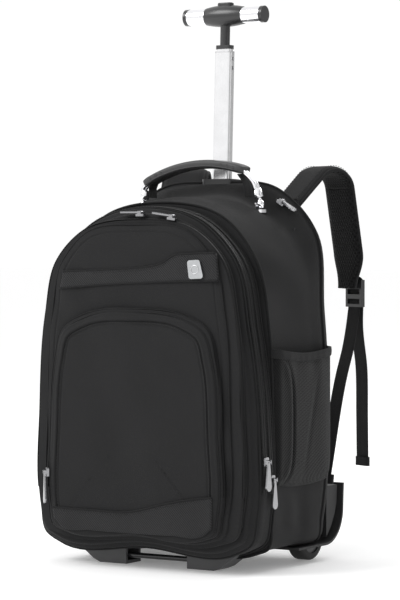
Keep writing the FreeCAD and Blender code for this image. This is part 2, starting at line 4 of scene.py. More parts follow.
import bmesh
import bpy
import numpy as np
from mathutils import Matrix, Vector


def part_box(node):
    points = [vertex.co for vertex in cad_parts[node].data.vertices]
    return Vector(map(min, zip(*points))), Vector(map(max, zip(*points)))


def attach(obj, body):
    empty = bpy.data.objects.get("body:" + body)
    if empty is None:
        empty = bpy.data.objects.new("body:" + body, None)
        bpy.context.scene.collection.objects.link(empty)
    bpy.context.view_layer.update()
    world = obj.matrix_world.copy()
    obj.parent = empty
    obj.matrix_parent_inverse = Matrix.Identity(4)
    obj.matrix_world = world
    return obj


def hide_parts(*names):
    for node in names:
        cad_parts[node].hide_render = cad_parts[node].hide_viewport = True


bl_info = {
    "name": "Wheeled Backpack Looks",
    "version": (1, 0, 0),
    "blender": (4, 5, 0),
    "location": "3D View > Sidebar > Backpack",
    "description": "Cloth, straps, trolley and base of a wheeled laptop backpack",
    "category": "Add Mesh",
}

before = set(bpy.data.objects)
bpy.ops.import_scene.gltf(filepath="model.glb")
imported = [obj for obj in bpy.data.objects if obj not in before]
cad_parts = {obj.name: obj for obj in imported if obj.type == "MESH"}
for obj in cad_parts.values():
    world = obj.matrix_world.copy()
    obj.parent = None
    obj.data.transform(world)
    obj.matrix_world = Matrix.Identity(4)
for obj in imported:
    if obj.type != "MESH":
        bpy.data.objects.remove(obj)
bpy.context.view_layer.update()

MM = 0.001


def cad_box(node):
    """Lowest and highest corners of a CAD node, in millimetres from the bag's middle."""
    low, high = (np.array(tuple(corner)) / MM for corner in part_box(node))
    return low - (0, SHIFT_Y, 0), high - (0, SHIFT_Y, 0)


# The bag's own middle lies in front of the footprint's middle: the main shell starts 48 mm ahead of it.
MAIN_FRONT_Y = -48.0
SHIFT_Y = 0.0
SHIFT_Y = cad_box("main_shell")[0][1] - MAIN_FRONT_Y

MAIN_REAR_Y = cad_box("main_shell")[1][1]
SECOND_FRONT_Y = cad_box("second_compartment_shell")[0][1]
FRONT_FACE_Y = cad_box("front_compartment_shell")[0][1]
POCKET_FACE_Y = cad_box("front_pocket_shell")[0][1]

# ---- outlines: half the arch as (x, z) from the bottom corner up to the crown ------------------
MAIN_FRONT = ((140, 24), (156, 31), (161, 60), (162, 200), (157, 303), (139, 388), (94, 440), (0, 461))
MAIN_MIDDLE = ((138, 24), (153, 30), (159, 59), (163, 205), (157, 312), (141, 408), (90, 453), (0, 471))
MAIN_REAR = ((136, 24), (150, 30), (156, 58), (163, 210), (157, 322), (145, 430), (90, 481), (0, 489))
SECOND = ((134, 26), (155, 38), (163, 72), (164, 190), (151, 300), (129, 390), (84, 435), (0, 455))
FRONT = ((118, 38), (142, 48), (150, 78), (151, 200), (142, 320), (126, 386), (84, 426), (0, 440))
FRONT_FACE = ((108, 42), (128, 50), (135, 78), (136, 200), (129, 322), (114, 386), (78, 423), (0, 434))
POCKET = ((104, 44), (122, 52), (128, 76), (127, 170), (120, 264), (108, 303), (76, 320), (0, 328))
POCKET_FACE = ((100, 46), (117, 54), (123, 78), (122, 170), (115, 262), (103, 298), (74, 314), (0, 322))


# ---- numbers to meshes --------------------------------------------------------------------------
def curve_through(points, per, closed):
    """Smooth curve through points: cubic pieces whose slopes are chord-weighted means."""
    p = np.asarray(points, float)
    if closed:
        steps = np.roll(p, -1, 0) - p
    else:
        steps = np.diff(p, axis=0)
    size = np.linalg.norm(steps, axis=1)
    rate = steps / size[:, None]
    if closed:
        before, b_size = np.roll(rate, 1, 0), np.roll(size, 1)
        slope = (before * size[:, None] + rate * b_size[:, None]) / (size + b_size)[:, None]
        ends = np.roll(slope, -1, 0)
        nexts = np.roll(p, -1, 0)
        starts, begin = slope, p
    else:
        inner = (rate[:-1] * size[1:, None] + rate[1:] * size[:-1, None]) / (size[1:] + size[:-1])[:, None]
        slope = np.vstack((rate[:1], inner, rate[-1:]))
        starts, ends, begin, nexts = slope[:-1], slope[1:], p[:-1], p[1:]
    t = (np.arange(per) / per)[None, :, None]
    h = size[:, None, None]
    out = ((2 * t**3 - 3 * t**2 + 1) * begin[:, None] + (t**3 - 2 * t**2 + t) * h * starts[:, None]
           + (3 * t**2 - 2 * t**3) * nexts[:, None] + (t**3 - t**2) * h * ends[:, None])
    out = out.reshape(-1, p.shape[1])
    return out if closed else np.vstack((out, p[-1:]))


def arch(half, per=12):
    """Closed arch through half an outline and its mirror image, starting at the bottom middle."""
    right = np.asarray(half, float)
    left = right[-2::-1] * (-1, 1)
    control = np.vstack(((0, right[0][1]), right, left))
    return curve_through(control, per, True)


def unit(vectors):
    """Vectors brought to length one."""
    return vectors / np.linalg.norm(vectors, axis=-1)[..., None]


def flat_normals(ring):
    """Outward normals of a closed plane curve that runs anticlockwise."""
    along = unit(np.roll(ring, -1, 0) - np.roll(ring, 1, 0))
    return np.stack((along[:, 1], -along[:, 0]), 1)


def run_length(points):
    """Distance along a line of points, from zero."""
    return np.concatenate(([0.0], np.cumsum(np.linalg.norm(np.diff(points, axis=0), axis=1))))


def run_around(section):
    """Distance round a closed section, from its first point back to it."""
    return run_length(np.vstack((section, section[:1])))


def cloth_map(around, along):
    """Grid of UV from distances across the columns and along the rows."""
    return np.stack(np.broadcast_arrays(around[None], along[:, None]), -1)


def smooth_step(x):
    """Ease from zero to one as x goes from zero to one."""
    x = np.clip(x, 0, 1)
    return x * x * (3 - 2 * x)


def bump_at(x, centre, width):
    """Bell of height one at the centre."""
    return np.exp(-((x - centre) / width) ** 2)


def folds(points, waves):
    """Height of soft folds: each is a cosine along one direction under a bell about its centre."""
    total = np.zeros(points.shape[:-1])
    for centre, direction, wavelength, reach, depth in waves:
        away = points - np.array(centre, float)
        across = away @ unit(np.array(direction, float))
        total += depth * np.cos(2 * np.pi * across / wavelength) * np.exp(-(away**2).sum(-1) / reach**2)
    return total


def ripple(points, seed, wavelength, depth):
    """Uneven cloth: eight seeded waves of about one length, added up."""
    draw = np.random.default_rng(seed)
    total = np.zeros(points.shape[:-1])
    for _ in range(8):
        heading = unit(draw.normal(size=3))
        length = wavelength * draw.uniform(0.7, 1.6)
        total += np.sin(2 * np.pi * (points @ heading) / length + draw.uniform(0, 6.28))
    return total * depth / 4


def surface(points, poles=(False, False), uv=None, split=None):
    """Rows of points (rows, columns, 3), each row a closed ring, as (vertices, faces, face corners' UV).

    poles close the first or last row to its middle. uv is one grid, or two with split, the row from
    which the second is used."""
    rows, cols = points.shape[:2]
    i, j = (grid.ravel() for grid in np.indices((rows - 1, cols)))
    k = (j + 1) % cols
    if uv is None:
        uv = np.zeros((rows, cols + 1, 2))
    grids = uv if split is not None else (uv, uv)
    corners = np.stack((i, i + 1, i + 1, i), 1), np.stack((j, j, j + 1, j + 1), 1)
    second = (i >= (split if split is not None else rows))[:, None, None]
    corner_uv = [np.where(second, grids[1][corners], grids[0][corners]).reshape(-1, 2)]
    faces = [np.stack((i * cols + j, (i + 1) * cols + j, (i + 1) * cols + k, i * cols + k), 1)]
    verts = points.reshape(-1, 3)
    for row, grid, order, wanted in zip((0, rows - 1), grids, ([0, 1, 2], [1, 0, 2]), poles):
        if wanted:
            ring = row * cols + np.arange(cols)
            faces.append(np.stack((ring, np.roll(ring, -1), np.full(cols, len(verts))), 1)[:, order])
            verts = np.vstack((verts, points[row].mean(0)))
            middle = np.broadcast_to(grid[row, :cols].mean(0), (cols, 2))
            fan = np.stack((grid[row, :cols], grid[row, 1:cols + 1], middle), 1)
            corner_uv.append(fan[:, order].reshape(-1, 2))
    return verts, faces, np.vstack(corner_uv)


def merged(parts):
    """Several surfaces as one set of vertices, faces and UV."""
    verts, faces, uvs, base = [], [], [], 0
    for part_verts, part_faces, part_uv in parts:
        verts.append(part_verts)
        faces += [f + base for f in part_faces]
        uvs.append(part_uv)
        base += len(part_verts)
    return np.vstack(verts), faces, np.vstack(uvs)


def both_sides(shape):
    """A shape and its mirror image across the bag's middle."""
    return merged([shape, (shape[0] * (-1, 1, 1), shape[1], shape[2])])


def piece(name, shape, finish, body="bag", hides=()):
    """One finished object from a surface given in millimetres from the bag's middle."""
    verts, faces, corner_uv = shape
    mesh = bpy.data.meshes.new(name)
    placed = (verts + (0, SHIFT_Y, 0)) * MM
    mesh.from_pydata(placed.tolist(), [], [face for block in faces for face in block.tolist()])
    layer = mesh.uv_layers.new(name="cloth")
    layer.data.foreach_set("uv", (corner_uv * MM).astype(np.float32).ravel())
    work = bmesh.new()
    work.from_mesh(mesh)
    bmesh.ops.recalc_face_normals(work, faces=work.faces)
    work.to_mesh(mesh)
    work.free()
    mesh.polygons.foreach_set("use_smooth", np.ones(len(mesh.polygons), bool))
    mesh.materials.append(FINISH[finish])
    obj = bpy.data.objects.new(name, mesh)
    bpy.context.collection.objects.link(obj)
    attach(obj, body)
    if hides:
        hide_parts(*hides)
    return obj


def carried(path, section, across, normal, size=1.0, poles=(True, True)):
    """A closed profile (n, 2) carried along a path, over its across and normal directions."""
    spread = section * np.reshape(size, (-1, 1, 1))
    points = (path[:, None] + spread[..., :1] * np.broadcast_to(across, path.shape)[:, None]
              + spread[..., 1:] * normal[:, None])
    return surface(points, poles, cloth_map(run_around(section), run_length(path)))


def swept(path, section, up, poles=(True, True)):
    """A profile carried along a path, its width kept square to up."""
    tangent = unit(np.gradient(path, axis=0))
    side = unit(np.cross(tangent, np.broadcast_to(np.asarray(up, float), path.shape)))
    return carried(path, section, side, np.cross(side, tangent), poles=poles)


def round_section(radius, n=10):
    """Round cord's outline."""
    turn = np.arange(n) / n * 2 * np.pi
    return np.stack((radius * np.cos(turn), radius * np.sin(turn)), 1)


def slab_section(width, thick, n=4, power=0.5):
    """Flat strip's outline with rounded edges: a superellipse."""
    turn = (np.arange(8 * n) + 0.5) / (8 * n) * 2 * np.pi
    c, s = np.cos(turn), np.sin(turn)
    rounded = np.stack((np.sign(c) * np.abs(c)**power, np.sign(s) * np.abs(s)**power), 1)
    return rounded * (width / 2, thick / 2)


def lathe(profile, centre, axis, n=40):
    """Profile of (along, radius) turned about an axis through the centre; ends are closed."""
    axis = unit(np.asarray(axis, float))
    other = np.array((0, 0, 1.0)) if abs(axis[2]) < 0.9 else np.array((1.0, 0, 0))
    side = unit(np.cross(axis, other))
    up = np.cross(side, axis)
    turn = np.arange(n) / n * 2 * np.pi
    ring = np.cos(turn)[:, None] * side + np.sin(turn)[:, None] * up
    profile = np.asarray(profile, float)
    points = np.asarray(centre, float) + profile[:, None, 0:1] * axis + profile[:, None, 1:2] * ring[None]
    return surface(points, (True, True))


def stitches(path, outward, length=2.6, gap=1.6, radius=0.32):
    """Row of thread stitches lying on a path: short five-sided rods, sunk at both ends."""
    along = run_length(path)
    starts = np.arange(0.5, along[-1] - length, length + gap)
    stations = starts[:, None] + np.linspace(0, length, 4)[None]
    lift = np.array((-0.1, 1.0, 1.0, -0.1)) * radius
    spots = np.stack([np.interp(stations, along, path[:, k]) for k in range(3)], -1)
    outs = np.stack([np.interp(stations, along, outward[:, k]) for k in range(3)], -1)
    spots = spots + outs * lift[None, :, None]
    tangent = unit(spots[:, -1] - spots[:, 0])
    side = unit(np.cross(outs[:, 0], tangent))
    turn = np.arange(5) / 5 * 2 * np.pi
    ring = radius * (np.cos(turn)[None, None, :, None] * side[:, None, None]
                     + np.sin(turn)[None, None, :, None] * outs[:, :, None])
    points = spots[:, :, None] + ring
    count = len(points)
    base = (np.arange(count) * 20)[:, None]
    i, j = np.meshgrid(np.arange(3), np.arange(5), indexing="ij")
    i, j = i.ravel(), j.ravel()
    k = (j + 1) % 5
    quad = np.stack((i * 5 + j, (i + 1) * 5 + j, (i + 1) * 5 + k, i * 5 + k), 1)
    quads = (base[:, :, None] + quad[None]).reshape(-1, 4)
    caps = np.concatenate((base + np.arange(5), base + 19 - np.arange(5)))
    return points.reshape(-1, 3), [quads, caps], np.zeros((len(quads) * 4 + len(caps) * 5, 2))


# ---- shared shader effects ------------------------------------------------------------------------
def node(tree, kind, sockets=None, **settings):
    """Add a node; sockets are linked or set by name or number, settings are its own options."""
    made = tree.nodes.new(kind)
    for key, value in settings.items():
        setattr(made, key, value)
    for key, value in (sockets or {}).items():
        if isinstance(value, bpy.types.NodeSocket):
            tree.links.new(value, made.inputs[key])
        else:
            made.inputs[key].default_value = value
    return made


def calc(tree, operation, a, b=0.0, c=0.0):
    """Output of a math node."""
    return node(tree, "ShaderNodeMath", {0: a, 1: b, 2: c}, operation=operation).outputs[0]


def effect(name, inputs, outputs):
    """Empty shader node group with named sockets: (tree, its inputs by name, its output node)."""
    tree = bpy.data.node_groups.new(name, "ShaderNodeTree")
    for label, kind, value in inputs:
        socket = tree.interface.new_socket(label, in_out="INPUT", socket_type=kind)
        if value is not None:
            socket.default_value = value
    for label, kind in outputs:
        tree.interface.new_socket(label, in_out="OUTPUT", socket_type=kind)
    given = tree.nodes.new("NodeGroupInput").outputs
    return tree, given, tree.nodes.new("NodeGroupOutput")


def send(tree, out, **values):
    """Link sockets to a group's outputs by name."""
    for label, socket in values.items():
        tree.links.new(socket, out.inputs[label])


FLOAT, VECTOR = "NodeSocketFloat", "NodeSocketVector"


def weave(name):
    """Empty cloth effect: (tree, its inputs, its output node, U and V counted in threads)."""
    tree, given, out = effect(name, (("Vector", VECTOR, None), ("Pitch", FLOAT, 0.001)),
                              (("Height", FLOAT), ("Tone", FLOAT)))
    parts = node(tree, "ShaderNodeSeparateXYZ", {0: given["Vector"]}).outputs
    u, v = (calc(tree, "DIVIDE", part, given["Pitch"]) for part in (parts[0], parts[1]))
    return tree, given, out, u, v


def wave(tree, phase):
    """Sine of a phase in turns, moved to between 0 and 1."""
    turned = calc(tree, "SINE", calc(tree, "MULTIPLY", phase, 2 * math.pi))
    return calc(tree, "MULTIPLY_ADD", turned, 0.5, 0.5)


def plain_weave():
    """Over and under threads: the product of two waves, with thread-to-thread noise."""
    tree, given, out, u, v = weave("plain_weave")
    cross = calc(tree, "MULTIPLY", calc(tree, "SINE", calc(tree, "MULTIPLY", u, 2 * math.pi)),
                 calc(tree, "SINE", calc(tree, "MULTIPLY", v, 2 * math.pi)))
    height = calc(tree, "MULTIPLY_ADD", cross, 0.5, 0.5)
    slubs = node(tree, "ShaderNodeTexNoise", {"Vector": given["Vector"], "Scale": 900.0, "Detail": 2.0})
    tone = calc(tree, "MULTIPLY_ADD", height, 0.5, calc(tree, "MULTIPLY", slubs.outputs[0], 0.5))
    send(tree, out, Height=height, Tone=tone)
    return tree


def diagonal_twill():
    """Raised diagonal ribs, each broken into short floats by the crossing threads."""
    tree, _, out, u, v = weave("diagonal_twill")
    rib = wave(tree, calc(tree, "ADD", u, v))
    cross = wave(tree, calc(tree, "MULTIPLY", calc(tree, "SUBTRACT", u, v), 2.0))
    height = calc(tree, "MULTIPLY_ADD", cross, 0.22, calc(tree, "MULTIPLY", rib, 0.78))
    send(tree, out, Height=height, Tone=calc(tree, "POWER", height, 1.4))
    return tree


def stretch_net():
    """Knitted net: two sets of slanted cords with small holes between them."""
    tree, _, out, u, v = weave("stretch_net")
    right = wave(tree, calc(tree, "ADD", u, calc(tree, "MULTIPLY", v, 0.8)))
    left = wave(tree, calc(tree, "SUBTRACT", u, calc(tree, "MULTIPLY", v, 0.8)))
    height = calc(tree, "MAXIMUM", calc(tree, "POWER", right, 1.5),
                  calc(tree, "MULTIPLY", calc(tree, "POWER", left, 2.5), 0.7))
    send(tree, out, Height=height, Tone=height)
    return tree


def honeycomb():
    """Air mesh: rounded cells with open middles, from the nearest-point pattern."""
    tree, _, out, u, v = weave("honeycomb")
    skew = calc(tree, "MULTIPLY", calc(tree, "FLOOR", calc(tree, "MULTIPLY", v, 1.1547)), 0.5)
    row = calc(tree, "SUBTRACT", calc(tree, "FRACT", calc(tree, "MULTIPLY", v, 1.1547)), 0.5)
    col = calc(tree, "SUBTRACT", calc(tree, "FRACT", calc(tree, "ADD", u, skew)), 0.5)
    far = calc(tree, "SQRT", calc(tree, "ADD", calc(tree, "MULTIPLY", row, row),
                                  calc(tree, "MULTIPLY", col, col)))
    height = node(tree, "ShaderNodeMapRange", {0: far, 1: 0.2, 2: 0.42, 3: 0.0, 4: 1.0},
                  interpolation_type="SMOOTHSTEP").outputs[0]
    send(tree, out, Height=height, Tone=height)
    return tree


def webbing_ribs():
    """Flat woven strap: fine chevron ribs along it."""
    tree, _, out, u, v = weave("webbing_ribs")
    zigzag = calc(tree, "PINGPONG", u, 1.0)
    height = wave(tree, calc(tree, "ADD", v, zigzag))
    send(tree, out, Height=height, Tone=height)
    return tree


def uneven_tone():
    """Slow change of shade over a surface plus fine dust in it."""
    tree, given, out = effect("uneven_tone", (("Vector", VECTOR, None), ("Size", FLOAT, 0.05)),
                              (("Shade", FLOAT), ("Dust", FLOAT)))
    scale = calc(tree, "DIVIDE", 1.0, given["Size"])
    slow = node(tree, "ShaderNodeTexNoise", {"Vector": given["Vector"], "Scale": scale, "Detail": 3.0})
    fine = node(tree, "ShaderNodeTexNoise", {"Vector": given["Vector"], "Scale": 1400.0, "Detail": 1.0})
    dust = node(tree, "ShaderNodeMapRange", {0: fine.outputs[0], 1: 0.62, 2: 0.75, 3: 0.0, 4: 1.0})
    send(tree, out, Shade=slow.outputs[0], Dust=dust.outputs[0])
    return tree


def moulded_grain():
    """Fine pebble of a moulded surface."""
    tree, given, out = effect("moulded_grain", (("Vector", VECTOR, None), ("Size", FLOAT, 0.0006)),
                              (("Height", FLOAT),))
    scale = calc(tree, "DIVIDE", 1.0, given["Size"])
    cells = node(tree, "ShaderNodeTexVoronoi", {"Vector": given["Vector"], "Scale": scale},
                 feature="SMOOTH_F1")
    send(tree, out, Height=cells.outputs["Distance"])
    return tree


def fine_scratches():
    """Hairlines drawn along the post: noise stretched a hundredfold along Z."""
    tree, given, out = effect("fine_scratches", (("Vector", VECTOR, None),), (("Lines", FLOAT),))
    stretched = node(tree, "ShaderNodeMapping", {"Vector": given["Vector"], "Scale": (2500.0, 2500.0, 12.0)})
    lines = node(tree, "ShaderNodeTexNoise", {"Vector": stretched.outputs[0], "Scale": 1.0, "Detail": 2.0})
    send(tree, out, Lines=lines.outputs[0])
    return tree


EFFECTS = {}


def build_effects():
    """Make every shared effect once."""
    for make in (plain_weave, diagonal_twill, stretch_net, honeycomb, webbing_ribs, uneven_tone,
                 moulded_grain, fine_scratches):
        EFFECTS[make.__name__] = make()


# ---- materials ------------------------------------------------------------------------------------
def fresh(name, **shader):
    """New material: its tree, Principled shader and coordinates."""
    material = bpy.data.materials.new(name)
    material.use_nodes = True
    tree = material.node_tree
    tree.nodes.clear()
    bsdf = node(tree, "ShaderNodeBsdfPrincipled")
    for key, value in shader.items():
        bsdf.inputs[key.replace("_", " ").title().replace("Ior", "IOR")].default_value = value
    node(tree, "ShaderNodeOutputMaterial", {0: bsdf.outputs[0]}, location=(400, 0))
    return material, tree, bsdf


def use(tree, name, **inputs):
    """Outputs of a shared effect put into a material."""
    return node(tree, "ShaderNodeGroup", inputs, node_tree=EFFECTS[name]).outputs


def blend_colour(tree, fac, dark, light):
    """Colour between a dark and a light one."""
    mix = node(tree, "ShaderNodeMix", {0: fac, 6: (*dark, 1), 7: (*light, 1)}, data_type="RGBA")
    return mix.outputs[2]


def times(colour, factor):
    """Colour made darker or lighter."""
    return tuple(c * factor for c in colour)


def cloth(name, pattern, pitch, colour, depth, contrast=0.35, roughness=0.8, sheen=0.04, tone_size=0.06):
    """Woven material on a piece's own cloth map: threads in the bump, shade and dust in the colour."""
    material, tree, bsdf = fresh(name, roughness=roughness, sheen_weight=sheen, sheen_roughness=0.45,
                                 specular_ior_level=0.16)
    uv = node(tree, "ShaderNodeUVMap", uv_map="cloth").outputs[0]
    place = node(tree, "ShaderNodeTexCoord").outputs["Object"]
    threads = use(tree, pattern, Vector=uv, Pitch=pitch)
    uneven = use(tree, "uneven_tone", Vector=place, Size=tone_size)
    dark = times(colour, 1 - contrast)
    light = times(colour, 1 + contrast)
    fac = calc(tree, "MULTIPLY_ADD", threads["Tone"], 0.7, calc(tree, "MULTIPLY", uneven["Shade"], 0.3))
    base = blend_colour(tree, fac, dark, light)
    dusty = node(tree, "ShaderNodeMix", {0: calc(tree, "MULTIPLY", uneven["Dust"], 0.05), 6: base,
                                         7: (0.3, 0.3, 0.3, 1)}, data_type="RGBA")
    tree.links.new(dusty.outputs[2], bsdf.inputs["Base Color"])
    bump = node(tree, "ShaderNodeBump", {"Height": threads["Height"], "Distance": depth, "Strength": 1.0})
    tree.links.new(bump.outputs[0], bsdf.inputs["Normal"])
    return material


def plastic(name, colour, roughness, grain=0.0006, depth=0.00005, coat=0.0):
    """Moulded material: pebbled grain in the bump, slow change of shade and gloss."""
    material, tree, bsdf = fresh(name, roughness=roughness, coat_weight=coat, coat_roughness=0.2)
    place = node(tree, "ShaderNodeTexCoord").outputs["Object"]
    uneven = use(tree, "uneven_tone", Vector=place, Size=0.02)
    dark, light = times(colour, 0.8), times(colour, 1.25)
    tree.links.new(blend_colour(tree, uneven["Shade"], dark, light), bsdf.inputs["Base Color"])
    rough = calc(tree, "MULTIPLY_ADD", uneven["Shade"], 0.12, roughness - 0.06)
    tree.links.new(rough, bsdf.inputs["Roughness"])
    bump = node(tree, "ShaderNodeBump", {"Height": use(tree, "moulded_grain", Vector=place, Size=grain)[0],
                                         "Distance": depth, "Strength": 0.7})
    tree.links.new(bump.outputs[0], bsdf.inputs["Normal"])
    return material


def metal(name, colour, roughness, drawn=0.0):
    """Polished material; drawn is the depth of its hairlines in metres."""
    material, tree, bsdf = fresh(name, roughness=roughness, metallic=1.0)
    place = node(tree, "ShaderNodeTexCoord").outputs["Object"]
    uneven = use(tree, "uneven_tone", Vector=place, Size=0.015)
    dark, light = times(colour, 0.9), tuple(min(1.0, c * 1.06) for c in colour)
    tree.links.new(blend_colour(tree, uneven["Shade"], dark, light), bsdf.inputs["Base Color"])
    lines = use(tree, "fine_scratches", Vector=place)[0]
    rough = calc(tree, "MULTIPLY_ADD", lines, 0.12, roughness - 0.04)
    tree.links.new(rough, bsdf.inputs["Roughness"])
    if drawn:
        bump = node(tree, "ShaderNodeBump", {"Height": lines, "Distance": drawn, "Strength": 0.5})
        tree.links.new(bump.outputs[0], bsdf.inputs["Normal"])
    return material


FINISH = {}


def build_finishes(colours):
    """Every finish of the bag, by the piece of work it is for."""
    black = tuple(colours.cloth)
    deep = times(black, 0.62)
    FINISH.update({
        "shell": cloth("padded_polyester", "plain_weave", 0.0007, black, 0.00012),
        "gusset": cloth("gusset_polyester", "plain_weave", 0.0007, times(black, 0.9), 0.00012),
        "twill": cloth("trim_twill", "diagonal_twill", 0.0034, times(black, 1.7), 0.0006,
                       contrast=0.8),
        "net": cloth("side_net", "stretch_net", 0.0034, times(black, 0.42), 0.0006, contrast=0.7,
                     sheen=0.1),
        "tape": cloth("coated_zip_tape", "webbing_ribs", 0.0012, deep, 0.00008, roughness=0.5, sheen=0.0),
        "air": cloth("air_mesh", "honeycomb", 0.005, times(black, 0.5), 0.0012, contrast=0.7),
        "webbing": cloth("strap_webbing", "webbing_ribs", 0.0022, black, 0.0003, contrast=0.45),
        "piping": cloth("piping_cord", "plain_weave", 0.0009, times(black, 0.8), 0.00015),
        "thread": plastic("sewing_thread", times(black, 0.35), 0.7, 0.0004),
        "guard": plastic("base_moulding", (0.012, 0.012, 0.0125), 0.6),
        "foot": plastic("foot_moulding", (0.06, 0.06, 0.062), 0.5),
        "gloss": plastic("gloss_black", (0.012, 0.012, 0.013), 0.16, 0.002, 0.00001, coat=0.5),
        "satin": plastic("satin_black", (0.018, 0.018, 0.019), 0.32, 0.0008, 0.00002, coat=0.2),
        "rubber": plastic("moulded_rubber", (0.032, 0.032, 0.033), 0.5, 0.0009, 0.00006),
        "tyre": plastic("tyre_rubber", (0.02, 0.02, 0.02), 0.75, 0.0012, 0.0001),
        "tube": metal("drawn_aluminium", (0.86, 0.86, 0.87), 0.18, 0.000004),
        "chrome": metal("bright_chrome", (0.9, 0.9, 0.92), 0.07),
        "pull": metal("dark_nickel", (0.34, 0.34, 0.35), 0.24, 0.000004),
        "badge": metal("satin_badge", (0.46, 0.47, 0.48), 0.34, 0.00001),
        "steel": metal("turned_steel", (0.6, 0.6, 0.61), 0.3, 0.00001),
    })


def finish_cad(finish, *names):
    """Give CAD nodes that are shown as they are a better material, in every slot."""
    for name in names:
        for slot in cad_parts[name].material_slots:
            slot.material = FINISH[finish]


# ---- soft body ------------------------------------------------------------------------------------
def grown(half, grow):
    """Closed outline ring and its normals, moved outwards by grow."""
    ring = arch(half)
    normal = flat_normals(ring)
    return ring + normal * grow, normal


def side_rows(outlines, per):
    """Rows of a wall through outlines given as (y, half, grow): y of each row and its ring."""
    rings = np.array([grown(half, grow)[0].ravel() for _, half, grow in outlines])
    share = math.sqrt(rings.shape[1])
    ys = np.array([y for y, _, _ in outlines], float)
    rows = curve_through(np.column_stack((ys, rings / share)), per, False)
    y_rows = np.interp(np.arange(len(rows)) / per, np.arange(len(ys)), ys)
    return y_rows, (rows[:, 1:] * share).reshape(len(rows), -1, 2)


def compartment(y_face, fall, edge, outlines, per=10, inner_rows=20):
    """Padded compartment: a crowned face, a rounded edge and a side wall through the outlines.

    Returns its points, outward directions, cloth maps, the row where the side's map starts, and each
    row's distance in from the edge, which is zero beside the face."""
    ring, normal = grown(outlines[0][1], outlines[0][2])
    middle = np.array((0.0, (ring[:, 1].max() + ring[:, 1].min()) / 2))
    reach = 24.0
    core = ring - normal * reach
    shares = np.linspace(0.04, 1, inner_rows)[:-1]
    insets = np.arange(reach, edge - 0.01, -1.0)
    flat = np.concatenate((middle + shares[:, None, None] * (core - middle)[None],
                           ring[None] - normal[None] * insets[:, None, None]))
    depth = np.concatenate((reach + (1 - shares) * 100, insets))
    y_flat = y_face + fall * np.exp(-(depth - edge) / 13.0)
    turn = np.linspace(0, math.pi / 2, 8)[1:]
    bent = ring[None] - normal[None] * (edge * (1 - np.sin(turn)))[:, None, None]
    y_bent = y_face + fall + edge * (1 - np.cos(turn))
    shifted = [(y_bent[-1], outlines[0][1], outlines[0][2])] + list(outlines[1:])
    y_side, rings = side_rows(shifted, per)
    flat_all = np.concatenate((flat, bent, rings[1:]))
    y_all = np.concatenate((y_flat, y_bent, y_side[1:]))
    face_part = np.concatenate((np.ones(len(flat)), np.cos(turn), np.zeros(len(rings) - 1)))
    points = np.empty(flat_all.shape[:2] + (3,))
    points[..., 0], points[..., 2] = flat_all[..., 0], flat_all[..., 1]
    points[..., 1] = y_all[:, None]
    outward = np.zeros_like(points)
    outward[..., 0] = normal[None, :, 0] * np.sqrt(1 - face_part**2)[:, None]
    outward[..., 2] = normal[None, :, 1] * np.sqrt(1 - face_part**2)[:, None]
    outward[..., 1] = -face_part[:, None]
    planar = np.concatenate((points, points[:, :1]), 1)[..., ::2]
    wall = cloth_map(run_around(ring), np.concatenate(([0.0], np.cumsum(np.abs(np.diff(y_all))))))
    split = len(flat) + 3
    inset = np.concatenate((depth, np.zeros(len(points) - len(flat))))
    return {"points": points, "outward": outward, "uv": (planar, wall), "split": split, "inset": inset}


def in_mm(group, *names):
    """Lengths of a settings group in millimetres."""
    return [getattr(group, name) / MM for name in names]


def pushed(part, height):
    """Move a compartment's points along its outward directions."""
    part["points"] = part["points"] + part["outward"] * height[..., None]


def closed_shape(part):
    """A compartment as one closed surface."""
    return surface(part["points"], (True, True), part["uv"], part["split"])


def on_ring(half, y, section, grow=0.0, above=None):
    """Profile of (across Y, out) carried along an outline: all round it, or where it lies above a height."""
    ring, normal = grown(half, grow)
    if above is not None:
        ring, normal = (values[ring[:, 1] > above] for values in (ring, normal))
    across, out = np.asarray(section, float).T
    flat = ring[:, None] + out[None, :, None] * normal[:, None]
    points = np.stack((flat[..., 0], np.broadcast_to(y + across, flat.shape[:2]), flat[..., 1]), -1)
    uv = cloth_map(run_around(section), run_length(points[:, 0]))
    if above is not None:
        return surface(points, (True, True), uv)
    return surface(np.concatenate((points, points[:1])), uv=np.concatenate((uv, uv[-1:])))


ZIP_SECTION = np.array(((-4.6, -0.5), (-4.6, 0.35), (-4.1, 0.75), (-0.75, 1.05), (-0.3, 0.75), (-0.22, 0.1),
                        (0.22, 0.1), (0.3, 0.75), (0.75, 1.05), (4.1, 0.75), (4.6, 0.35), (4.6, -0.5)))


def piping(radius, out=0.0):
    """Cord's section, its middle moved out of the seam."""
    turn = np.arange(10) / 10 * 2 * np.pi
    return np.stack((radius * np.cos(turn), out + radius * np.sin(turn)), 1)


def ring_stitches(half, y, grow, above):
    """Stitch row beside a seam on the side wall."""
    ring, normal = grown(half, grow)
    keep = ring[:, 1] > above
    path = np.column_stack((ring[keep, 0], np.full(keep.sum(), y), ring[keep, 1]))
    out = np.column_stack((normal[keep, 0], np.zeros(keep.sum()), normal[keep, 1]))
    return stitches(path, out)


def face_stitches(path, radius=0.32):
    """Stitch row on cloth that faces forward."""
    return stitches(path, np.broadcast_to((0.0, -1.0, 0.0), path.shape), radius=radius)


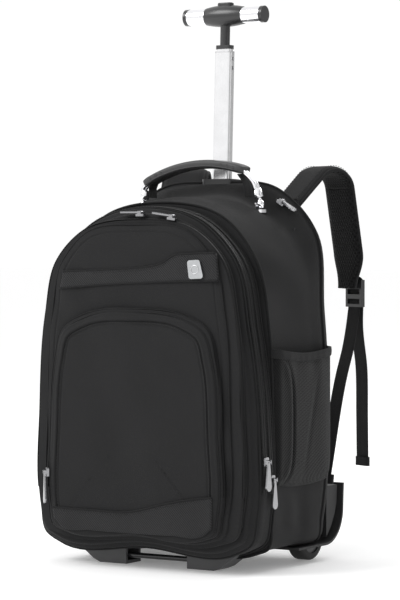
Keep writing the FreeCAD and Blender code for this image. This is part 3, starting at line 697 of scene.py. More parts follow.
class BAG_PG_cloth(bpy.types.PropertyGroup):
    """Sizes and colours of the cloth body."""
    cloth: bpy.props.FloatVectorProperty(name="Cloth", description="Colour of the polyester", size=3,
                                         subtype="COLOR", min=0, max=1, default=(0.0145, 0.0145, 0.0150))
    seam: bpy.props.FloatProperty(name="Seam Depth", description="How far seams pull in", default=0.0014,
                                  min=0, max=0.004, unit="LENGTH", subtype="DISTANCE")
    slack: bpy.props.FloatProperty(name="Slack", description="Height of the soft ripples", default=0.0009,
                                   min=0, max=0.004, unit="LENGTH", subtype="DISTANCE")
    pocket_band: bpy.props.FloatProperty(name="Pocket Band", default=0.011, min=0.006, max=0.016,
                                         description="Width of the band round the front pocket",
                                         unit="LENGTH", subtype="DISTANCE")


class BAG_OT_main_body(bpy.types.Operator):
    """Main compartment: arched wall that rises to the ridge over the trolley, with the wheel wells cut."""
    bl_idname = "bag.main_body"
    bl_label = "Main Body"

    def execute(self, context):
        slack, seam = in_mm(context.scene.bag_cloth, "slack", "seam")
        outlines = ((0, MAIN_FRONT, 0), (30, MAIN_MIDDLE, -1), (55, MAIN_MIDDLE, 0.5), (90, MAIN_REAR, 0),
                    (102, MAIN_REAR, -3.5), (MAIN_REAR_Y - 1.0, MAIN_REAR, -11))
        part = compartment(MAIN_FRONT_Y, 1.0, 4.0, outlines, per=14, inner_rows=6)
        p = part["points"]
        height = ripple(p, 3, 95, slack)
        height += folds(p, (((40, 20, 470), (0.35, 1, -0.2), 60, 60, -2.2),
                            ((-60, 30, 465), (-0.3, 1, 0), 55, 55, -2.0),
                            ((150, 0, 380), (0, 0.6, 1), 80, 70, 1.6),
                            ((-150, 0, 380), (0, 0.6, 1), 80, 70, 1.6),
                            ((160, 10, 60), (0, 1, 0.5), 46, 45, 1.3),
                            ((-160, 10, 60), (0, 1, 0.5), 46, 45, 1.3)))
        above_floor = smooth_step((p[..., 2] - 30) / 40)
        height *= above_floor
        height -= seam * bump_at(p[..., 1], 84, 1.6) * above_floor
        height -= seam * bump_at(p[..., 2], 103, 1.5) * (np.abs(p[..., 0]) > 140)
        pushed(part, height)
        shell = piece("main_body_cloth", closed_shape(part), "gusset",
                      hides=("main_shell",))
        carve_wells(shell)
        joints = merged([on_ring(MAIN_FRONT, MAIN_FRONT_Y + 2.5, piping(1.7, 1.0)),
                         on_ring(MAIN_REAR, 88.0, piping(1.6, 0.6), above=28)])
        piece("main_body_piping", joints, "piping")
        rows = ring_stitches(MAIN_FRONT, MAIN_FRONT_Y + 6.5, 0.4, 110)
        piece("main_body_stitches", rows, "thread")
        return {"FINISHED"}


def carve_wells(obj):
    """Cut the two wheel wells out of a piece; the cutters are removed again."""
    work = bmesh.new()
    for side in ("right", "left"):
        low, high = (np.array(tuple(corner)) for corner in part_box(f"tyre_{side}"))
        centre = (low + high) / 2
        radius = (high[2] - low[2]) / 2 + 7.3 * MM
        width = high[0] - low[0] + 8.6 * MM
        turn = bmesh.ops.create_cone(work, cap_ends=True, segments=64, radius1=radius, radius2=radius,
                                     depth=width)
        swap = np.array(((0, 0, 1), (1, 0, 0), (0, 1, 0)), float)
        for vert in turn["verts"]:
            vert.co = Vector(swap @ np.array(vert.co) + centre)
    bmesh.ops.recalc_face_normals(work, faces=work.faces)
    mesh = bpy.data.meshes.new("wells")
    work.to_mesh(mesh)
    work.free()
    cutter = bpy.data.objects.new("wells", mesh)
    bpy.context.collection.objects.link(cutter)
    cut = obj.modifiers.new("wells", "BOOLEAN")
    cut.operation, cut.solver, cut.use_self, cut.object = "DIFFERENCE", "EXACT", True, cutter
    graph = bpy.context.evaluated_depsgraph_get()
    done = bpy.data.meshes.new_from_object(obj.evaluated_get(graph), depsgraph=graph)
    obj.modifiers.clear()
    obj.data = done
    bpy.data.objects.remove(cutter)


class BAG_OT_second_compartment(bpy.types.Operator):
    """Second compartment and its gusset with the two long zips."""
    bl_idname = "bag.second_compartment"
    bl_label = "Second Compartment"

    def execute(self, context):
        slack, seam = in_mm(context.scene.bag_cloth, "slack", "seam")
        outlines = ((0, SECOND, -7.5), (-86, SECOND, -3), (-78, SECOND, 0), (-64, SECOND, 0),
                    (-49, SECOND, -0.8))
        part = compartment(SECOND_FRONT_Y, 2.0, 5.0, outlines, per=10, inner_rows=6)
        p = part["points"]
        height = ripple(p, 11, 80, slack * 0.8) * smooth_step((p[..., 2] - 30) / 40)
        height -= seam * bump_at(p[..., 1], -81.5, 1.2)
        pushed(part, height)
        piece("second_compartment_cloth", closed_shape(part), "shell",
              hides=("second_compartment_shell",))
        cords = merged([on_ring(SECOND, -82.0, piping(1.4, -0.6)), on_ring(SECOND, -50.5, piping(1.5, 0.0))])
        piece("second_compartment_piping", cords, "piping")
        tapes = merged([on_ring(SECOND, -73.5, ZIP_SECTION, 0.9, above=92),
                        on_ring(SECOND, -58.5, ZIP_SECTION, 0.9, above=92)])
        piece("main_zip_cloth", tapes, "tape", hides=("zip_tapes",))
        rows = merged([ring_stitches(SECOND, y, 1.3, 92) for y in (-79.2, -67.6, -64.4, -53.0)])
        piece("main_zip_stitches", rows, "thread")
        return {"FINISHED"}


class BAG_OT_front_compartment(bpy.types.Operator):
    """Front compartment: arched face, its zip and seams."""
    bl_idname = "bag.front_compartment"
    bl_label = "Front Compartment"

    def execute(self, context):
        slack, = in_mm(context.scene.bag_cloth, "slack")
        outlines = ((0, FRONT_FACE, 0), (-102, FRONT, -0.5), (-96.3, FRONT, 0))
        part = compartment(FRONT_FACE_Y, 2.2, 2.6, outlines, per=8, inner_rows=22)
        p = part["points"]
        height = ripple(p, 21, 90, slack)
        height += folds(p, (((0, -108, 410), (0.15, 0, 1), 40, 70, 0.8),
                            ((-100, -108, 340), (1, 0, 0.5), 50, 50, 1.0)))
        height -= 0.9 * bump_at(part["inset"], 9.5, 1.0)[:, None]
        pushed(part, height)
        piece("front_compartment_cloth", closed_shape(part), "shell",
              hides=("front_compartment_shell",))
        cords = merged([on_ring(FRONT, -96.5, piping(1.4, 0.8), above=60),
                        on_ring(FRONT_FACE, -104.6, piping(1.3, 0.0), above=50)])
        piece("front_compartment_piping", cords, "piping")
        tape = on_ring(FRONT, -99.4, ZIP_SECTION * (0.62, 0.9), 0.3, above=95)
        piece("front_zip_cloth", tape, "tape")
        return {"FINISHED"}


class BAG_OT_front_pocket(bpy.types.Operator):
    """Front pocket with its arched band, hidden zip and stitch rows."""
    bl_idname = "bag.front_pocket"
    bl_label = "Front Pocket"

    def execute(self, context):
        slack, band = in_mm(context.scene.bag_cloth, "slack", "pocket_band")
        outlines = ((0, POCKET_FACE, 1.5), (-112.5, POCKET, 0), (-108.3, POCKET, 0.4))
        part = compartment(POCKET_FACE_Y, 1.6, 2.6, outlines, per=8, inner_rows=26)
        p = part["points"]
        inset = part["inset"]
        on_arch = smooth_step((p[..., 2] - 62) / 12)
        height = ripple(p, 31, 85, slack)
        height += folds(p, (((20, -118, 200), (1, 0, 0.25), 120, 110, 1.6),
                            ((-60, -118, 130), (0.6, 0, 1), 90, 70, 1.2)))
        groove = -2.4 * bump_at(inset, band, 0.9) + 0.9 * bump_at(inset, band - 3.2, 2.6)
        groove += -0.8 * bump_at(inset, band + 4.0, 1.0)
        height += groove[:, None] * on_arch
        pushed(part, height)
        piece("front_pocket_cloth", closed_shape(part), "shell",
              hides=("front_pocket_shell",))
        cords = merged([on_ring(POCKET_FACE, -113.6, piping(1.2, 1.9), above=56),
                        on_ring(POCKET, -108.9, piping(1.2, 0.6), above=50)])
        piece("front_pocket_piping", cords, "piping")
        tape = on_ring(POCKET, -111.2, ZIP_SECTION * (0.42, 0.8), 0.2, above=95)
        piece("front_pocket_zip_cloth", tape, "tape")
        ring, _ = grown(POCKET_FACE, 1.5 - band - 1.6)
        keep = ring[:, 1] > 72
        path = np.column_stack((ring[keep, 0], np.full(keep.sum(), POCKET_FACE_Y + 0.25), ring[keep, 1]))
        piece("front_pocket_stitches", face_stitches(path), "thread")
        return {"FINISHED"}


# ---- trim, side pockets, back ---------------------------------------------------------------------
def strip_panel(low, high, y_front, y_back):
    """Closed flat panel between a lower and an upper edge given as (x, z), with softly rounded rims."""
    bottom, top = (curve_through(edge, 20, False) for edge in (low, high))
    share = np.linspace(0, 1, 25)
    round_off = 0.9 * (np.clip(1 - share / 0.06, 0, 1)**2 + np.clip((share - 0.94) / 0.06, 0, 1)**2)
    front = bottom[:, None] + (top - bottom)[:, None] * share[None, :, None]
    ends = np.minimum(np.arange(len(bottom)), np.arange(len(bottom))[::-1])
    dip = 0.9 * np.clip(1 - ends / 3, 0, 1)[:, None]
    loop = np.concatenate((front, front[:, ::-1]), 1)
    y = np.concatenate((y_front + np.maximum(round_off, dip), np.full(front.shape[:2], y_back)), 1)
    points = np.stack((loop[..., 0], y, loop[..., 1]), -1)
    flat = np.concatenate((loop, loop[:, :1]), 1)
    return surface(points, (True, True), flat)


def edge_line(points, y):
    """Smooth line through (x, z) points at one depth."""
    path = curve_through(points, 20, False)
    return np.column_stack((path[:, 0], np.full(len(path), y), path[:, 1]))


def tube_along(path, radius, n=10, up=(0, 1, 0)):
    """Round cord along a path."""
    return swept(path, round_section(radius, n), up)


class BAG_PG_trim(bpy.types.PropertyGroup):
    """Trim bands, badge and side pockets."""
    cord: bpy.props.FloatProperty(name="Cord", description="Radius of the cord on a band's edge",
                                  default=0.0012, min=0.0005, max=0.003, unit="LENGTH", subtype="DISTANCE")
    lift: bpy.props.FloatProperty(name="Lift", description="How far the bands stand out", default=0.0016,
                                  min=0.0005, max=0.0024, unit="LENGTH", subtype="DISTANCE")
    gather: bpy.props.FloatProperty(name="Gather", description="Depth of the side pockets' gathers",
                                    default=0.0013, min=0, max=0.003, unit="LENGTH", subtype="DISTANCE")


# The bands' lower and upper edges as (x, z); the upper band widens under the badge.
UPPER_LOW = ((-115, 353), (-84, 355.5), (-48, 358), (-11, 360), (15, 361.2), (32, 362), (45, 362.4),
             (58, 362.8), (82, 363.5), (122, 364.5))
UPPER_HIGH = ((-110, 374.3), (-64, 376.2), (-22, 378), (11, 380.1), (26, 382), (40, 385.4), (50, 391),
              (58, 395.2), (82, 397.3), (118, 398.3))
LOWER_LOW = ((-117, 60), (-106, 50.5), (-60, 48), (0, 47.5), (60, 48), (106, 50.5), (118, 60))
LOWER_HIGH = ((-119, 74), (-108, 74), (-60, 73.7), (-4, 74), (56, 88), (104, 96.5), (119, 98))


class BAG_OT_trim_bands(bpy.types.Operator):
    """Twill bands across the front, their cords and stitches, and the plain metal badge."""
    bl_idname = "bag.trim_bands"
    bl_label = "Trim Bands"

    def execute(self, context):
        cord_radius, lift = in_mm(context.scene.bag_trim, "cord", "lift")
        for name, low, high, back in (("upper", UPPER_LOW, UPPER_HIGH, FRONT_FACE_Y),
                                      ("lower", LOWER_LOW, LOWER_HIGH, POCKET_FACE_Y)):
            front = back - lift
            panel = strip_panel(low, high, front, back + 3.0)
            piece(f"{name}_band", panel, "twill", hides=(f"{name}_trim_band",))
            cord = tube_along(edge_line(high, front + 0.5), cord_radius)
            if name == "upper":
                cord = merged([cord, tube_along(edge_line(low, front + 0.5), cord_radius)])
            piece(f"{name}_band_cord", cord, "piping")
            path = edge_line(tuple((x, z - 2.9) for x, z in high[1:-1]), front + 0.02)
            piece(f"{name}_band_stitches", face_stitches(path, 0.4), "thread")
        finish_cad("badge", "badge_plate")
        turn = np.linspace(0, 2 * np.pi, 49)
        ring = np.column_stack((90.2 + 5.2 * np.cos(turn), np.full(49, FRONT_FACE_Y - 4.5),
                                377.8 + 5.2 * np.sin(turn)))
        wire = swept(ring, round_section(0.55, 8), (0, 1, 0), poles=(False, False))
        piece("badge_ring", wire, "steel")
        return {"FINISHED"}


def wall_route():
    """Side pocket's line in plan, from its front seam round to its back seam, (x, y)."""
    return np.array(((161.0, -47.0), (165.5, -45.0), (170.5, -40.5), (172.6, -31), (172.8, 0), (172.8, 40),
                     (172.6, 76), (170.0, 88.5), (164.5, 96.5), (160.0, 99.5)))


NET_FLOOR_Z, NET_THICK = 104, 1.3
HEM_Z, HEM_SAG = 273.0, 6.0


class BAG_OT_side_pockets(bpy.types.Operator):
    """Gathered stretch pockets with a deep soft fold, and their elastic hems."""
    bl_idname = "bag.side_pockets"
    bl_label = "Side Pockets"

    def execute(self, context):
        gather, = in_mm(context.scene.bag_trim, "gather")
        plan = curve_through(wall_route(), 16, False)
        away = np.gradient(plan, axis=0)
        normal = unit(np.column_stack((away[:, 1], -away[:, 0])))
        along = run_length(plan)
        shapes = (self.net(plan, normal, along, gather), self.hem(plan, normal, along))
        for side, sign in (("right", 1), ("left", -1)):
            net, hem = [(verts * (sign, 1, 1), faces, uvs) for verts, faces, uvs in shapes]
            wall = piece(f"{side}_pocket_net", net, "net",
                         hides=("side_pockets",) if sign > 0 else ())
            piece(f"{side}_pocket_hem", hem, "webbing",
                  hides=("side_pocket_hems",) if sign > 0 else ())
        return {"FINISHED"}

    def net(self, plan, normal, along, gather):
        """Gathered net between its floor seam and the hem, with one deep fold, as a thin closed sheet."""
        rise = np.linspace(0, 1, 64)[:, None]
        s, share = along[None], (along / along[-1])[None]
        arc = np.sin(np.pi * share)
        foot_z = NET_FLOOR_Z + 7 * (1 - arc)
        z = foot_z + (HEM_Z - HEM_SAG * arc**1.5 - foot_z) * rise
        tuck = 9.0 * np.exp(-rise / 0.055) * arc**0.4
        gathers = (np.sin(s / 5.1 + 1.4 * np.sin(s / 21)) * np.exp(-(1 - rise) / 0.16)
                   + 0.7 * np.sin(s / 7.3 + 1.0) * np.exp(-rise / 0.14))
        bend = 0.28 - 0.20 * np.exp(-(1 - rise) / 0.09) - 0.17 * np.exp(-rise / 0.08)
        fold = -4.6 * bump_at(share, bend, 0.019) + 2.2 * bump_at(share, bend - 0.055, 0.035)
        fold += -1.2 * bump_at(share, 0.42 + 0.3 * rise, 0.03) * np.sin(np.pi * rise)
        fold *= np.sin(np.pi * rise)**0.5 * arc**0.5
        out = np.minimum(gather * gathers * 0.5 * arc**0.6 + fold - tuck - 0.4, 1.6)
        outer = np.concatenate((plan[None] + normal[None] * out[..., None], z[..., None]), -1)
        inner = outer - np.column_stack((normal * NET_THICK, np.zeros(len(normal))))
        ring = np.concatenate((outer, inner[:, ::-1]), 1)
        u = np.concatenate((along, along[::-1] + along[-1] * 2, along[:1] + along[-1] * 2))
        verts, faces, uvs = surface(ring, uv=cloth_map(u, z[:, 0]))
        cols, i = ring.shape[1], np.arange(len(plan) - 1)
        for row, turn in ((0, 1), (len(rise) - 1, -1)):
            base = row * cols
            rim = np.stack((base + i, base + i + 1, base + cols - 2 - i, base + cols - 1 - i), 1)
            faces.append(rim[:, ::-turn])
        return verts, faces, np.vstack((uvs, np.zeros((8 * len(i), 2))))

    def hem(self, plan, normal, along):
        """Elastic band along the top of the net, finely crimped."""
        lift = np.linspace(-5.2, 5.2, 9)
        crown = np.column_stack((0.9 + 0.6 * np.cos(lift / 5.2 * 1.5), lift))
        band = np.vstack(((-1.9, -5.6), crown, (-1.9, 5.6)))
        z = HEM_Z - HEM_SAG * np.sin(np.pi * along / along[-1])**1.5
        out = band[None, :, :1] + 0.12 * np.sin(along / 2.3)[:, None, None]
        level = z[:, None, None] + band[None, :, 1:]
        rows = np.concatenate((plan[:, None] + normal[:, None] * out, level), -1)
        return surface(rows, (True, True), cloth_map(run_around(band), along))


PAD_INNER_X, PAD_LOW_Z, PAD_HIGH_Z = 20, 106, 468


class BAG_OT_back(bpy.types.Operator):
    """Back pads with their channels on both sides of the trolley."""
    bl_idname = "bag.back"
    bl_label = "Back"

    def execute(self, context):
        share, across = np.linspace(0, 1, 61)[:, None], np.linspace(0, 1, 41)
        z = PAD_LOW_Z + (PAD_HIGH_Z - PAD_LOW_Z) * share
        outer = 136 + 7 * np.sin(np.pi * np.minimum(1, share * 1.25))
        outer = outer - 62 * np.maximum(0.0, share - 0.72)**1.15 / 0.28**0.15 * 1.6
        x = PAD_INNER_X + (outer - PAD_INNER_X) * across
        to_rim = np.minimum(np.minimum(across, 1 - across) * 14, np.minimum(share, 1 - share) * 22)
        rim = np.clip(to_rim, 0, 1)
        channels = sum(bump_at(z, c + 16 * across, 5.0) for c in (170, 245, 320, 395))
        y = 110.6 + 7.6 * np.sqrt(rim) - 2.6 * channels * rim
        front = np.stack(np.broadcast_arrays(x, y, z), -1)
        back = np.stack(np.broadcast_arrays(x, 109.2, z), -1)
        points = np.concatenate((front, back[:, ::-1]), 1)
        pad = surface(points, (True, True), np.concatenate((points, points[:, :1]), 1)[..., ::2])
        piece("back_padding", both_sides(pad), "air", hides=("back_pad",))
        return {"FINISHED"}


# ---- straps ---------------------------------------------------------------------------------------
def rounded_route(points, radii, step=2.5):
    """Straight runs joined by tangent arcs, as closely spaced points."""
    p = np.asarray(points, float)
    parts, start = [], p[0]
    for i, radius in enumerate(radii):
        corner = p[i + 1]
        a = (start - corner) / np.linalg.norm(start - corner)
        b = (p[i + 2] - corner) / np.linalg.norm(p[i + 2] - corner)
        half = math.acos(np.clip(a @ b, -1, 1)) / 2
        back = radius / math.tan(half)
        middle = corner + (a + b) / np.linalg.norm(a + b) * radius / math.sin(half)
        t = np.linspace(0, 1, max(6, int(radius * (math.pi - 2 * half) / step)))[:, None]
        first, last = corner + a * back - middle, corner + b * back - middle
        angle = math.pi - 2 * half
        arc = middle + (np.sin((1 - t) * angle) * first + np.sin(t * angle) * last) / math.sin(angle)
        run = np.linspace(0, 1, max(3, int(np.linalg.norm(arc[0] - start) / step)), endpoint=False)[:, None]
        parts += [start + (arc[0] - start) * run, arc]
        start = arc[-1]
    run = np.linspace(0, 1, max(3, int(np.linalg.norm(p[-1] - start) / step)))[1:, None]
    return np.vstack(parts + [start + (p[-1] - start) * run])


class BAG_PG_straps(bpy.types.PropertyGroup):
    """Shoulder straps and their webbing."""
    width: bpy.props.FloatProperty(name="Width", description="Width of a strap", default=0.058, min=0.04,
                                   max=0.08, unit="LENGTH", subtype="DISTANCE")
    thick: bpy.props.FloatProperty(name="Thickness", description="Thickness of a strap's padding",
                                   default=0.0114, min=0.006, max=0.016, unit="LENGTH", subtype="DISTANCE")
    splay: bpy.props.FloatProperty(name="Splay", description="How far the straps turn outwards",
                                   default=0.418879, min=0, max=0.6, unit="ROTATION", subtype="ANGLE")


STRAP_ROOT = np.array((75.0, 112.0, 0.0))
STRAP_ROUTE = ((112, 443), (208, 536), (233, 385), (229, 350))
STRAP_RADII = (28, 120)
WEBBING = (25, 1.9)
TO_RIGHT, TO_BACK = np.array((1.0, 0, 0)), np.array((0, 1.0, 0))


def splayed(points, angle):
    """Turn points about the strap's root so that the strap leans outwards."""
    c, s = math.cos(angle), math.sin(angle)
    away = points - STRAP_ROOT
    return STRAP_ROOT + np.stack((away[..., 0] * c + away[..., 1] * s, away[..., 1] * c - away[..., 0] * s,
                                  away[..., 2]), -1)


def strap_path(splay):
    """Middle line of the right strap's padding."""
    route = rounded_route(STRAP_ROUTE, STRAP_RADII)
    return splayed(np.column_stack((np.full(len(route), STRAP_ROOT[0]), route)), splay)


def ribbon_along(places, across, width=WEBBING[0], thick=WEBBING[1]):
    """Webbing through places, its width along one direction."""
    path = curve_through(places, 14, False)
    up = unit(np.cross(np.broadcast_to(across, path.shape), np.gradient(path, axis=0)))
    return carried(path, slab_section(width, thick, 3, 0.35), across, up)


class BAG_OT_straps(bpy.types.Operator):
    """Shoulder straps: air mesh inside, cloth outside, bound edges, buckles and webbing."""
    bl_idname = "bag.straps"
    bl_label = "Shoulder Straps"

    def execute(self, context):
        sizes = context.scene.bag_straps
        path = strap_path(sizes.splay)
        c, s = math.cos(sizes.splay), math.sin(sizes.splay)
        across = np.array((c, -s, 0.0))
        outward = np.cross(np.broadcast_to(across, path.shape), unit(np.gradient(path, axis=0)))
        along = run_length(path)
        taper = 1 - 0.42 * smooth_step((along - along[-1] + 46) / 46)
        taper *= 1 - 0.06 * smooth_step((30 - along) / 30)
        width, thick = in_mm(sizes, "width", "thick")
        half = width / 2
        v = np.linspace(-1, 1, 29)
        crown = np.sqrt(np.clip(1 - np.abs(v)**5, 0, 1))
        wrinkle = 0.5 * np.sin(along / 6.3) * bump_at(along, 150, 22) + 0.35 * np.sin(along / 11 + 1)
        for name, sign, finish, slot_name in (("strap_inner", -1, "air", "air_mesh"),
                                              ("strap_outer", 1, "shell", "shell_fabric")):
            creased = wrinkle[:, None] * (1.0 if sign > 0 else 0.4) * crown[None]**2
            deep = thick / 2 * crown[None] + 0.12 + creased
            x = v[None] * half * taper[:, None]
            top = path[:, None] + x[..., None] * across + sign * deep[..., None] * outward[:, None]
            base = path[:, None] + x[..., None] * across - sign * 0.1 * outward[:, None]
            ring = np.concatenate((top, base[:, ::-1]), 1)
            u = np.concatenate((x, x[:, ::-1], x[:, :1]), 1)
            uv = np.stack(np.broadcast_arrays(u, along[:, None]), -1)
            shape = both_sides(surface(ring, (True, True), uv))
            piece(name, shape, finish,
                  hides=("shoulder_straps",) if sign > 0 else ())
        edges = [tube_along(path + across * side * half * taper[:, None], 2.1, 10, (0.3, 1, 0.2))
                 for side in (-1, 1)]
        piece("strap_binding", both_sides(merged(edges)), "webbing")
        rows = []
        for side in (-1, 1):
            line = path + across * side * (half - 7.0) * taper[:, None] + outward * thick * 0.5
            rows.append(stitches(line, outward))
        piece("strap_stitches", both_sides(merged(rows)), "thread")
        finish_cad("satin", "ladder_locks")
        self.webbing(sizes, across)
        return {"FINISHED"}

    def webbing(self, sizes, across):
        """Webbing from the buckles to the base, loose tails, tabs and patches."""
        def behind(reach, z):
            """Point at a height, a given reach behind the strap's root."""
            return splayed(STRAP_ROOT + (0, reach, z), sizes.splay)

        low = [behind(130.5, 352), behind(130.6, 336), behind(129, 324.5), np.array((131.4, 208, 276)),
               np.array((136.0, 179, 235)), np.array((146.0, 117.0, 108.0))]
        piece("strap_lower_webbing", both_sides(ribbon_along(low, across)), "webbing",
              hides=("lower_webbings",))
        hang = [behind(134.4, 347), behind(134.4, 325), behind(134, 303), behind(141.5, 241),
                behind(142.5, 179), behind(143.5, 112.5)]
        tail = ribbon_along(hang, across)
        fold = ribbon_along([behind(143.5, 124), behind(143.6, 118), behind(143.5, 112)], across, 26.4, 5.8)
        sling = ribbon_along([behind(124, 366), behind(130.5, 364), behind(135.5, 358), behind(134, 347)],
                             across)
        piece("strap_tails", both_sides(merged([tail, fold, sling])), "webbing",
              hides=("webbing_tails",))
        tab = ribbon_along([np.array((146.0, 113.2, 99.0)), np.array((146.0, 114.6, 105.0)),
                            np.array((146.0, 115.5, 111.0))], TO_RIGHT, 28, 5.6)
        piece("strap_tabs", both_sides(tab), "webbing", hides=("lower_strap_tabs",))
        slab = ribbon_along([np.array((75.0, 121.6, z)) for z in (415.0, 423.0, 431.0, 438.5)],
                            TO_RIGHT, 62, 4.2)
        piece("strap_patches", both_sides(slab), "twill",
              hides=("strap_root_patches",))


# ---- carry handle ---------------------------------------------------------------------------------
class BAG_OT_carry_handle(bpy.types.Operator):
    """Arched rubber grip with studs, twin polished end rods with sleeves, and webbing."""
    bl_idname = "bag.carry_handle"
    bl_label = "Carry Handle"

    def execute(self, context):
        low, high = cad_box("carry_handle_grip")
        middle_y = (low[1] + high[1]) / 2
        route = rounded_route(((-82, 489), (-5, 525), (68, 504)), (190,))
        path = np.column_stack((route[:, 0], np.full(len(route), middle_y), route[:, 1]))
        along = run_length(path)
        size = 0.90 + 0.10 * smooth_step(np.minimum(along, along[-1] - along) / 9)
        size[[0, -1]] *= 0.93
        across = TO_BACK
        up = np.cross(unit(np.gradient(path, axis=0)), across)
        up *= np.sign(up[:, 2:3])
        grip = carried(path, slab_section(25.6, 11.6, 4, 0.55), across, up, size)
        piece("handle_grip", grip, "rubber", "carry_handle", hides=("carry_handle_grip",))
        ridge = path[4:-4] - across * 12.5 - up[4:-4] * 2.6
        piece("handle_ridge", tube_along(ridge, 0.9, 8), "rubber", "carry_handle")
        studs = []
        for share in (0.08, 0.14, 0.20, 0.80, 0.86, 0.92):
            spot, lift = (np.array([np.interp(share * along[-1], along, line[:, k]) for k in range(3)])
                          for line in (path, up))
            for side in (-1, 1):
                centre = spot + lift * 0.9 + across * side * 12.2
                profile = ((-0.4, 0.2), (0.2, 1.9), (0.75, 2.0), (1.0, 1.6), (0.6, 1.1), (0.4, 0.3))
                studs.append(lathe(profile, centre, across * side, 16))
        piece("handle_studs", merged(studs), "satin", "carry_handle")
        self.end_rods(middle_y)
        finish_cad("chrome", "carry_handle_anchors")
        return {"FINISHED"}

    def end_rods(self, y):
        """Twin rods, a sleeve and a ball at each end, and the short webbing inside."""
        parts, webs = [], []
        for side, (x, z) in ((1, (64.0, 504.5)), (-1, (78.0, 491.0))):
            start = np.array((side * x, y, z))
            neck = np.array((side * 88.2, y, 468.0))
            knee = start * 0.42 + neck * 0.58 + (side * 4.2, 0, 3.4)
            path = curve_through((start, knee, neck), 14, False)
            for offset in (-3.1, 3.1):
                parts.append(tube_along(path + (0, offset, 0), 2.7, 14))
            ball = np.array((side * 91.0, y, 459.0))
            aim = (ball - neck) / np.linalg.norm(ball - neck)
            sleeve = ((-13, 2.0), (-12.4, 6.0), (-1.5, 6.2), (-0.3, 5.4), (0, 3.2), (2.5, 2.9), (4.2, 3.3),
                      (5.6, 4.4), (8.0, 4.8), (10.6, 4.3), (12.4, 2.6), (13.2, 0.6))
            parts.append(lathe(sleeve, neck, aim, 24))
        piece("handle_end_rods", merged(parts), "chrome", "carry_handle",
              hides=("carry_handle_rods",))
        for points in (((61, y, 499), (68, y, 490), (71.6, y, 480), (73, y, 469.5)),
                       ((-72, y, 488), (-74.6, y, 482), (-74.6, y, 476), (-74, y, 470))):
            webs.append(ribbon_along(points, TO_BACK, 18, 2.0))
        piece("handle_webbing", merged(webs), "webbing", "carry_handle",
              hides=("carry_handle_webbing",))


# ---- hardware shown as designed -------------------------------------------------------------------
class BAG_OT_hardware(bpy.types.Operator):
    """Finishes of the tubes, wheels, base, grip and zip parts."""
    bl_idname = "bag.hardware"
    bl_label = "Hardware"

    def execute(self, context):
        finish_cad("tube", "trolley_outer_tube", "trolley_middle_tube", "trolley_inner_tube")
        finish_cad("steel", "middle_tube_lip", "lock_pin", "axles", "base_screws")
        finish_cad("chrome", "grip_sleeves")
        finish_cad("satin", "trolley_top_collar", "trolley_base_block", "middle_tube_guide", "lock_pin_block",
                    "grip_centre", "grip_end_caps", "release_button", "back_frame_sheet", "laptop_divider",
                    "bottom_board")
        finish_cad("gloss", "foot_rod")
        finish_cad("guard", "base_guard", "wheel_bay_cover", "wheel_housings")
        finish_cad("foot", "front_feet", "wheel_hub_right", "wheel_hub_left")
        finish_cad("tyre", "tyre_right", "tyre_left")
        for name in ("main_upper", "main_lower", "front_left", "front_right", "pocket", "laptop"):
            finish_cad("pull", f"{name}_slider", f"{name}_pull")
        return {"FINISHED"}


# ---- whole bag ------------------------------------------------------------------------------------
class BAG_PG_stage(bpy.types.PropertyGroup):
    """Camera and light."""
    focal: bpy.props.FloatProperty(name="Focal Length", description="Lens of the camera", default=153.6,
                                   min=20, max=400, subtype="DISTANCE_CAMERA")
    key_power: bpy.props.FloatProperty(name="Key Power", description="Power of the main light, in watts",
                                       default=58, min=0, max=1000, subtype="POWER", unit="POWER")
    world: bpy.props.FloatProperty(name="Surround", description="Strength of the even light all round",
                                   default=1.02, min=0, max=5)


def area_light(name, place, target, width, height, power):
    """Soft rectangular light that looks at a target; lengths in metres."""
    data = bpy.data.lights.new(name, "AREA")
    data.shape, data.size, data.size_y, data.energy = "RECTANGLE", width, height, power
    lamp = bpy.data.objects.new(name, data)
    bpy.context.collection.objects.link(lamp)
    lamp.location = place
    lamp.rotation_euler = (Vector(target) - Vector(place)).to_track_quat("-Z", "Y").to_euler()
    return lamp


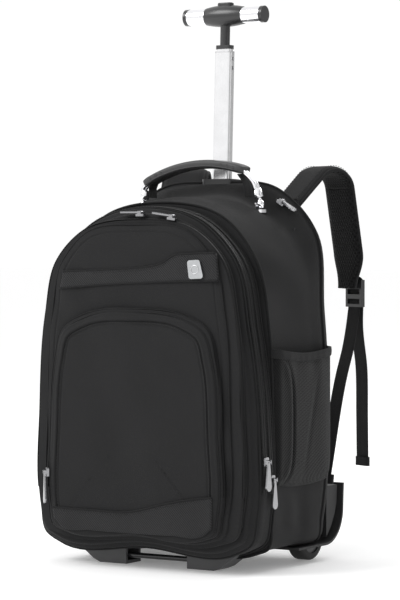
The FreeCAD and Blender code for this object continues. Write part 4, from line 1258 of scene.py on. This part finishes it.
class BAG_OT_stage(bpy.types.Operator):
    """Camera, soft studio lights and a pale floor."""
    bl_idname = "bag.stage"
    bl_label = "Stage"

    def execute(self, context):
        sizes = context.scene.bag_stage
        data = bpy.data.cameras.new("camera")
        data.lens, data.sensor_fit, data.sensor_height = sizes.focal, "VERTICAL", 36.0
        data.clip_end = 100
        camera = bpy.data.objects.new("camera", data)
        bpy.context.collection.objects.link(camera)
        camera.location = Vector((1765.7, -2780.9 + SHIFT_Y, 411.9)) * MM
        aim = Vector((28.0, SHIFT_Y, 337.5)) * MM - camera.location
        camera.rotation_euler = aim.to_track_quat("-Z", "Y").to_euler()
        context.scene.camera = camera
        floor_material, tree, bsdf = fresh("pale_floor", roughness=0.9)
        bsdf.inputs["Base Color"].default_value = (0.93, 0.93, 0.93, 1)
        bsdf.inputs["Emission Color"].default_value = (1, 1, 1, 1)
        bsdf.inputs["Emission Strength"].default_value = 0.18
        bpy.ops.mesh.primitive_plane_add(size=60, location=(0, 0, 0))
        floor = context.object
        floor.name = "floor"
        floor.data.materials.append(floor_material)
        middle = (0, SHIFT_Y * MM, 0.35)
        key = area_light("key", (-1.6, -2.2, 2.6), middle, 1.6, 1.6, sizes.key_power)
        side = area_light("side", (2.6, 0.3, 1.6), middle, 0.9, 1.8, sizes.key_power * 0.08)
        back = area_light("back", (0.6, 2.4, 2.4), middle, 1.6, 1.0, sizes.key_power * 0.5)
        world = bpy.data.worlds.new("surround")
        world.use_nodes = True
        tree = world.node_tree
        direction = node(tree, "ShaderNodeTexCoord").outputs["Generated"]
        to_right = node(tree, "ShaderNodeVectorMath", {0: direction, 1: (0.94, 0.34, 0.0)},
                        operation="DOT_PRODUCT").outputs["Value"]
        shade = node(tree, "ShaderNodeMapRange", {0: to_right, 1: 0.05, 2: 0.75, 3: sizes.world,
                                                  4: sizes.world * 0.42}, interpolation_type="SMOOTHSTEP")
        tree.links.new(shade.outputs[0], tree.nodes["Background"].inputs[1])
        tree.nodes["Background"].inputs[0].default_value = (1, 1, 1, 1)
        context.scene.world = world
        context.scene.view_settings.view_transform = "Standard"
        return {"FINISHED"}


class BAG_PT_panel(bpy.types.Panel):
    """Sidebar panel with every size and build step."""
    bl_idname = "BAG_PT_panel"
    bl_label = "Backpack"
    bl_space_type = "VIEW_3D"
    bl_region_type = "UI"
    bl_category = "Backpack"

    def draw(self, context):
        for name in SETTINGS:
            group = getattr(context.scene, name)
            box = self.layout.box()
            for key in group.__annotations__:
                box.prop(group, key)
        for step in STEPS:
            self.layout.operator(step.bl_idname)


SETTINGS = {"bag_cloth": BAG_PG_cloth, "bag_trim": BAG_PG_trim, "bag_straps": BAG_PG_straps,
            "bag_stage": BAG_PG_stage}
STEPS = (BAG_OT_main_body, BAG_OT_second_compartment, BAG_OT_front_compartment, BAG_OT_front_pocket,
         BAG_OT_trim_bands, BAG_OT_side_pockets, BAG_OT_back, BAG_OT_straps,
         BAG_OT_carry_handle, BAG_OT_hardware, BAG_OT_stage)
CLASSES = (*SETTINGS.values(), *STEPS, BAG_PT_panel)


def register():
    """Add the settings, the build steps and the panel to Blender."""
    for cls in CLASSES:
        bpy.utils.register_class(cls)
    for name, group in SETTINGS.items():
        setattr(bpy.types.Scene, name, bpy.props.PointerProperty(type=group))


def unregister():
    """Take them out again."""
    for name in SETTINGS:
        delattr(bpy.types.Scene, name)
    for cls in reversed(CLASSES):
        bpy.utils.unregister_class(cls)


def main():
    """Build every piece of the bag on the frame, through its operators."""
    register()
    build_effects()
    build_finishes(bpy.context.scene.bag_cloth)
    for step in STEPS:
        getattr(bpy.ops.bag, step.bl_idname.split(".")[1])()


if __name__ == "__main__":
    main()
